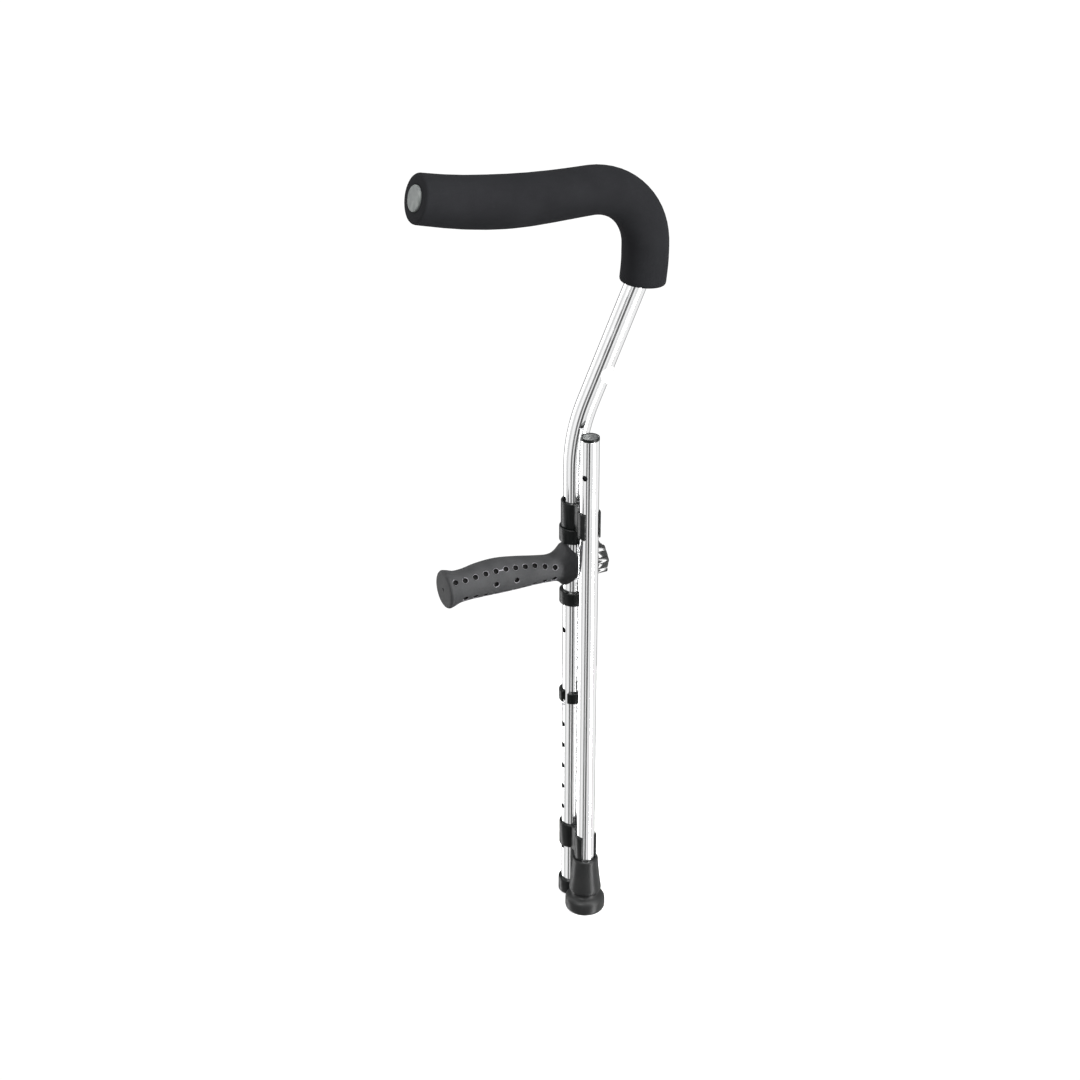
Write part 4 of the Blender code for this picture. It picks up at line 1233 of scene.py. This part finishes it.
@dataclass
class LegEnds:
    """The rubber foot under the leg and the plug in its top."""

    foot: tuple[Pair, ...] = (
        (0.0, 12.5), (9.825, 12.5), (9.825, 62.4), (10.4, 63.0), (12.5, 63.0), (13.1, 62.8), (13.4, 62.2),
        (13.45, 60.5), (13.6, 58.0), (13.9, 53.5), (14.3, 49.0), (14.8, 43.5), (15.4, 38.0), (16.1, 32.5),
        (16.7, 28.0), (16.95, 26.2), (17.0, 25.2), (16.8, 24.2), (16.3, 23.3), (15.4, 22.7), (14.4, 22.3),
        (13.8, 21.6), (13.6, 20.6), (13.6, 19.2), (13.9, 18.1), (14.7, 17.3), (16.0, 16.7), (17.4, 16.1),
        (18.6, 15.4), (19.5, 14.6), (20.3, 13.6),
        (20.8, 12.4), (21.0, 11.0), (21.0, 3.4), (20.8, 2.2), (20.3, 1.1), (19.5, 0.35), (18.6, 0.0),
        (17.4, 0.0), (17.0, 1.4), (15.0, 1.4), (14.6, 0.0), (13.2, 0.0), (12.8, 1.4), (10.8, 1.4),
        (10.4, 0.0), (0.0, 0.0),
    )
    ferrule_room: float = 14.3
    # radius of the painted reflection on the plug's top face
    plug_face: float = 7.5
    plug: tuple[Pair, ...] = (
        # radius, height above the tube's end
        (0.0, 2.5), (7.4, 2.5), (7.8, 2.55), (8.1, 2.9), (8.4, 3.0), (9.0, 3.0), (9.35, 2.8),
        (9.525, 2.3), (9.525, 0.3), (8.025, 0.3), (8.025, -11.7), (7.2, -13.2), (6.0, -13.2),
        (6.0, -0.7), (0.0, -0.7),
    )

    def build(self) -> None:
        """Make the foot, relieved where it meets the ferrule, and the plug."""
        axis = Axis((0.0, 0.0, 0.0))
        foot = Bench.turned("foot_tip_finished", self.foot, axis, 96)
        room = Bench.rod((0.0, TUBE_Y, -5.0), (0.0, TUBE_Y, 22.0), self.ferrule_room, 96)
        Bench.cut(foot, room)
        Bench.dress(foot, [FOOT_SKIN], 38.0)
        Bench.fit(foot, Body.LEG, Slot.FOOT_RUBBER, "foot_tip")
        plug = Bench.turned("leg_top_plug_finished", self.plug, Axis((0.0, 0.0, LEG_TOP)))
        Bench.dress(plug, [CLIP_BLACK, PLUG_TOP_REFLECTION])
        # The plug's upward inner face is painted lighter grey as a painted reflection of the top light.
        Bench.paint(plug, 1, lambda place, normal: normal.z > 0.7 and place.xy.length < self.plug_face)
        Bench.fit(plug, Body.LEG, Slot.BLACK_PLASTIC, "leg_top_plug")


@dataclass
class SnapButtons:
    """The two domed spring buttons."""

    radius: float = 2.7
    proud: float = 2.6

    def button(self, name: str, wall: float, centre: Triple, way: Triple, body: Body, node: str) -> None:
        """Make one button.

        Args:
            name: The piece's name.
            wall: The tube's outer radius.
            centre: Where the button's axis meets the tube's.
            way: The way out.
            body: The body it rides on.
            node: The CAD node it stands for.
        """
        tip, shoulder, inner = wall + self.proud, wall + 0.6, wall - WALL - 0.2
        turns = [math.radians(9.0 * k) for k in range(1, 11)]
        dome = [(self.radius * math.sin(a), shoulder + (tip - shoulder) * math.cos(a)) for a in turns]
        profile = [(0.0, tip), *dome, (self.radius, inner), (0.0, inner)]
        button = Bench.turned(name, profile, Axis(centre, way), 40)
        Bench.dress(button, [BRIGHT_STEEL], 50.0)
        Bench.fit(button, body, Slot.STEEL, node)

    def build(self) -> None:
        """Make the catch on the main tube and the leg's far-side button."""
        self.button("catch_button_finished", MAIN_R, (0.0, TUBE_Y, CATCH_Z), (-1.0, 0.0, 0.0),
                    Body.CATCH_BUTTON, "catch_button")
        way = (math.sin(LEG_HOLE_TURN), math.cos(LEG_HOLE_TURN), 0.0)
        self.button("leg_button_finished", LEG_R, (0.0, 0.0, LEG_HOLE), way, Body.LEG_BUTTON, "leg_button")


@dataclass
class RoundSticker:
    """The plain round sticker on the gooseneck's sloping run."""

    height: float = 601.0
    radius: float = 8.5
    facing: Triple = (0.45, -0.9, 0.0)
    inner: float = MAIN_R + 0.15
    outer: float = MAIN_R + 0.35

    def build(self) -> None:
        """Cut a disc out of a thin sleeve that fits the tube."""
        low, high = Vector(NECK.corners[0][:2]), Vector(NECK.corners[1][:2])
        way = (high - low).normalized()
        middle = low + way * ((self.height - low.y) / way.y)
        lean = math.atan2(way.x, way.y)
        ends = [middle - way * 14.0, middle + way * 14.0]
        outside = [Ring(p.x, p.y, self.outer, lean) for p in ends]
        inside = [Ring(p.x, p.y, self.inner, lean) for p in reversed(ends)]
        sticker = Bench.sleeve("round_sticker", outside + inside, 96, True)
        centre = Vector((middle.x, TUBE_Y, middle.y))
        out = Vector(self.facing).normalized()
        disc = Bench.rod(centre + out * 3.0, centre + out * 16.0, self.radius, 64)
        Bench.cut(sticker, disc, "INTERSECT")
        Bench.dress(sticker, [STICKER])
        Bench.fit(sticker, Body.FRAME, Slot.LABEL, "round_label")


@dataclass
class InnerParts:
    """CAD nodes that stay as they are, inside the crutch, with their finishes."""

    finishes: tuple[tuple[str, Finish], ...] = (
        ("catch_spring", BLUED_STEEL), ("leg_spring", BLUED_STEEL), ("foot_washer", BRIGHT_STEEL),
        ("knob_washer", BRIGHT_STEEL), ("knob_stud", BRIGHT_STEEL), ("grip_insert", TURNED_BRASS),
        ("grip_core", CORE_PLASTIC),
    )

    def build(self) -> None:
        """Dress each node."""
        for name, finish in self.finishes:
            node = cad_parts[name]
            node.data.materials.clear()
            node.data.materials.append(finish.material())
            LOG.info("%s: dressed in %s", name, finish.name)


@dataclass
class Studio:
    """The pale floor, the soft light and the camera."""

    lens: float = 73.33
    eye: Triple = (-0.918, -1.6957, 1.422)
    right: Triple = (0.8910, -0.4540, 0.0)
    up: Triple = (0.2061, 0.4045, 0.8910)
    forward: Triple = (0.4045, 0.7939, -0.4540)
    # compass bearing, half width and depth of the dark flags that draw lines on the tubes
    flags: tuple[Triple, ...] = (
        (-123.0, 6.0, 0.93), (-151.0, 5.0, 0.85), (162.0, 5.0, 0.30), (-93.0, 4.0, 0.25),
        (-48.0, 8.0, 0.18), (62.0, 44.0, 0.55),
    )
    flag_blur: float = 7.0
    strip_blur: float = 4.0
    # compass bearing, half width and power
    strips: tuple[Triple, ...] = ((126.0, 5.0, 5.0), (-63.0, 4.0, 25.0))
    lamps: tuple[tuple[str, Triple, float, float], ...] = (
        # name, place, size and power
        ("key_light", (-1.6, -0.9, 1.9), 0.9, 48.0), ("top_light", (0.5, -0.6, 2.4), 1.2, 14.0),
    )
    floor_radius: float = 0.5
    diffuse_share: float = 0.55
    from_sides: float = 0.3

    def camera(self) -> None:
        """Place the camera at the working angle."""
        data = bpy.data.cameras.new("camera")
        data.lens = self.lens
        data.sensor_width = 36.0
        data.clip_end = 50.0
        camera = bpy.data.objects.new("camera", data)
        bpy.context.scene.collection.objects.link(camera)
        turn = Matrix((self.right, self.up, tuple(-f for f in self.forward))).transposed().to_4x4()
        camera.matrix_world = Matrix.Translation(self.eye) @ turn
        bpy.context.scene.camera = camera

    def floor(self) -> None:
        """Make a round pale floor under the foot."""
        Bench.clear()
        bpy.ops.mesh.primitive_circle_add(
            vertices=96, radius=self.floor_radius, fill_type="NGON", location=(0.0, 0.01, -0.0003)
        )
        floor = Bench.settle("floor")
        with Bench.editing(floor):
            bpy.ops.mesh.inset(thickness=0.02)
        floor.data.materials.append(FLOOR.material())
        floor.visible_glossy = floor.visible_diffuse = False

    def sky(self) -> None:
        """Surround the object with white, and hang dark flags and one strip light in it."""
        world = bpy.data.worlds.new("studio")
        bpy.context.scene.world = world
        shader = Shader(world)
        way = shader.node("ShaderNodeTexCoord").outputs["Generated"]
        parts = shader.node("ShaderNodeSeparateXYZ", None, {0: way})
        x, y, z = (Value(shader, parts.outputs[i]) for i in range(3))
        bearing = y.math("ARCTAN2", y, x)
        light = 1.0 + 0.12 * z
        for centre, half, depth in self.flags:
            off = self.off(bearing, centre)
            clear = off.eased(math.radians(half), math.radians(half + self.flag_blur))
            light = light * (1.0 - depth * (1.0 - clear))
        from_above = z.math("MAXIMUM", self.from_sides + (1.0 - self.from_sides) * z, 0.0)
        soft = light * from_above * self.diffuse_share
        for centre, half, power in self.strips:
            off = self.off(bearing, centre)
            past = off.eased(math.radians(half), math.radians(half + self.strip_blur))
            light = light + power * (1.0 - past)
        path = shader.node("ShaderNodeLightPath")
        spread = Value(shader, path.outputs["Is Diffuse Ray"])
        seen = Value(shader, path.outputs["Is Camera Ray"])
        light = spread * soft + (1.0 - spread) * light
        light = seen * 1.05 + (1.0 - seen) * light
        background = shader.tree.nodes["Background"]
        shader.feed(background.inputs["Color"], (1.0, 1.0, 1.0, 1.0))
        shader.feed(background.inputs["Strength"], light)

    @staticmethod
    def off(bearing: Value, centre: float) -> Value:
        """Give how far a bearing is from a compass direction in degrees, in radians."""
        turned = bearing - math.radians(centre)
        return turned.math("ABSOLUTE", turned.math("WRAP", turned, math.pi, -math.pi))

    def lamp(self, name: str, place: Triple, size: float, power: float) -> None:
        """Hang a soft square lamp that faces the middle of the object."""
        data = bpy.data.lights.new(name, "AREA")
        data.shape = "SQUARE"
        data.size = size
        data.energy = power
        lamp = bpy.data.objects.new(name, data)
        bpy.context.scene.collection.objects.link(lamp)
        aim = Vector((-0.03, 0.03, 0.42)) - Vector(place)
        lamp.matrix_world = Matrix.Translation(place) @ aim.to_track_quat("-Z", "Y").to_matrix().to_4x4()

    def build(self) -> None:
        """Set the stage."""
        self.camera()
        self.floor()
        self.sky()
        for lamp in self.lamps:
            self.lamp(*lamp)
        bpy.context.scene.view_settings.view_transform = "Standard"


def main() -> None:
    """Build every sub-assembly in order."""
    logging.basicConfig(level=logging.INFO, format="%(name)s: %(message)s")
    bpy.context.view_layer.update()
    Studio().build()
    for assembly in (Tubes(), UnderarmPad(), LegClips(), TubeRings(), HandGrip(), StarKnob(), LegEnds(),
                     SnapButtons(), RoundSticker(), InnerParts()):
        assembly.build()


if __name__ == "__main__":
    main()
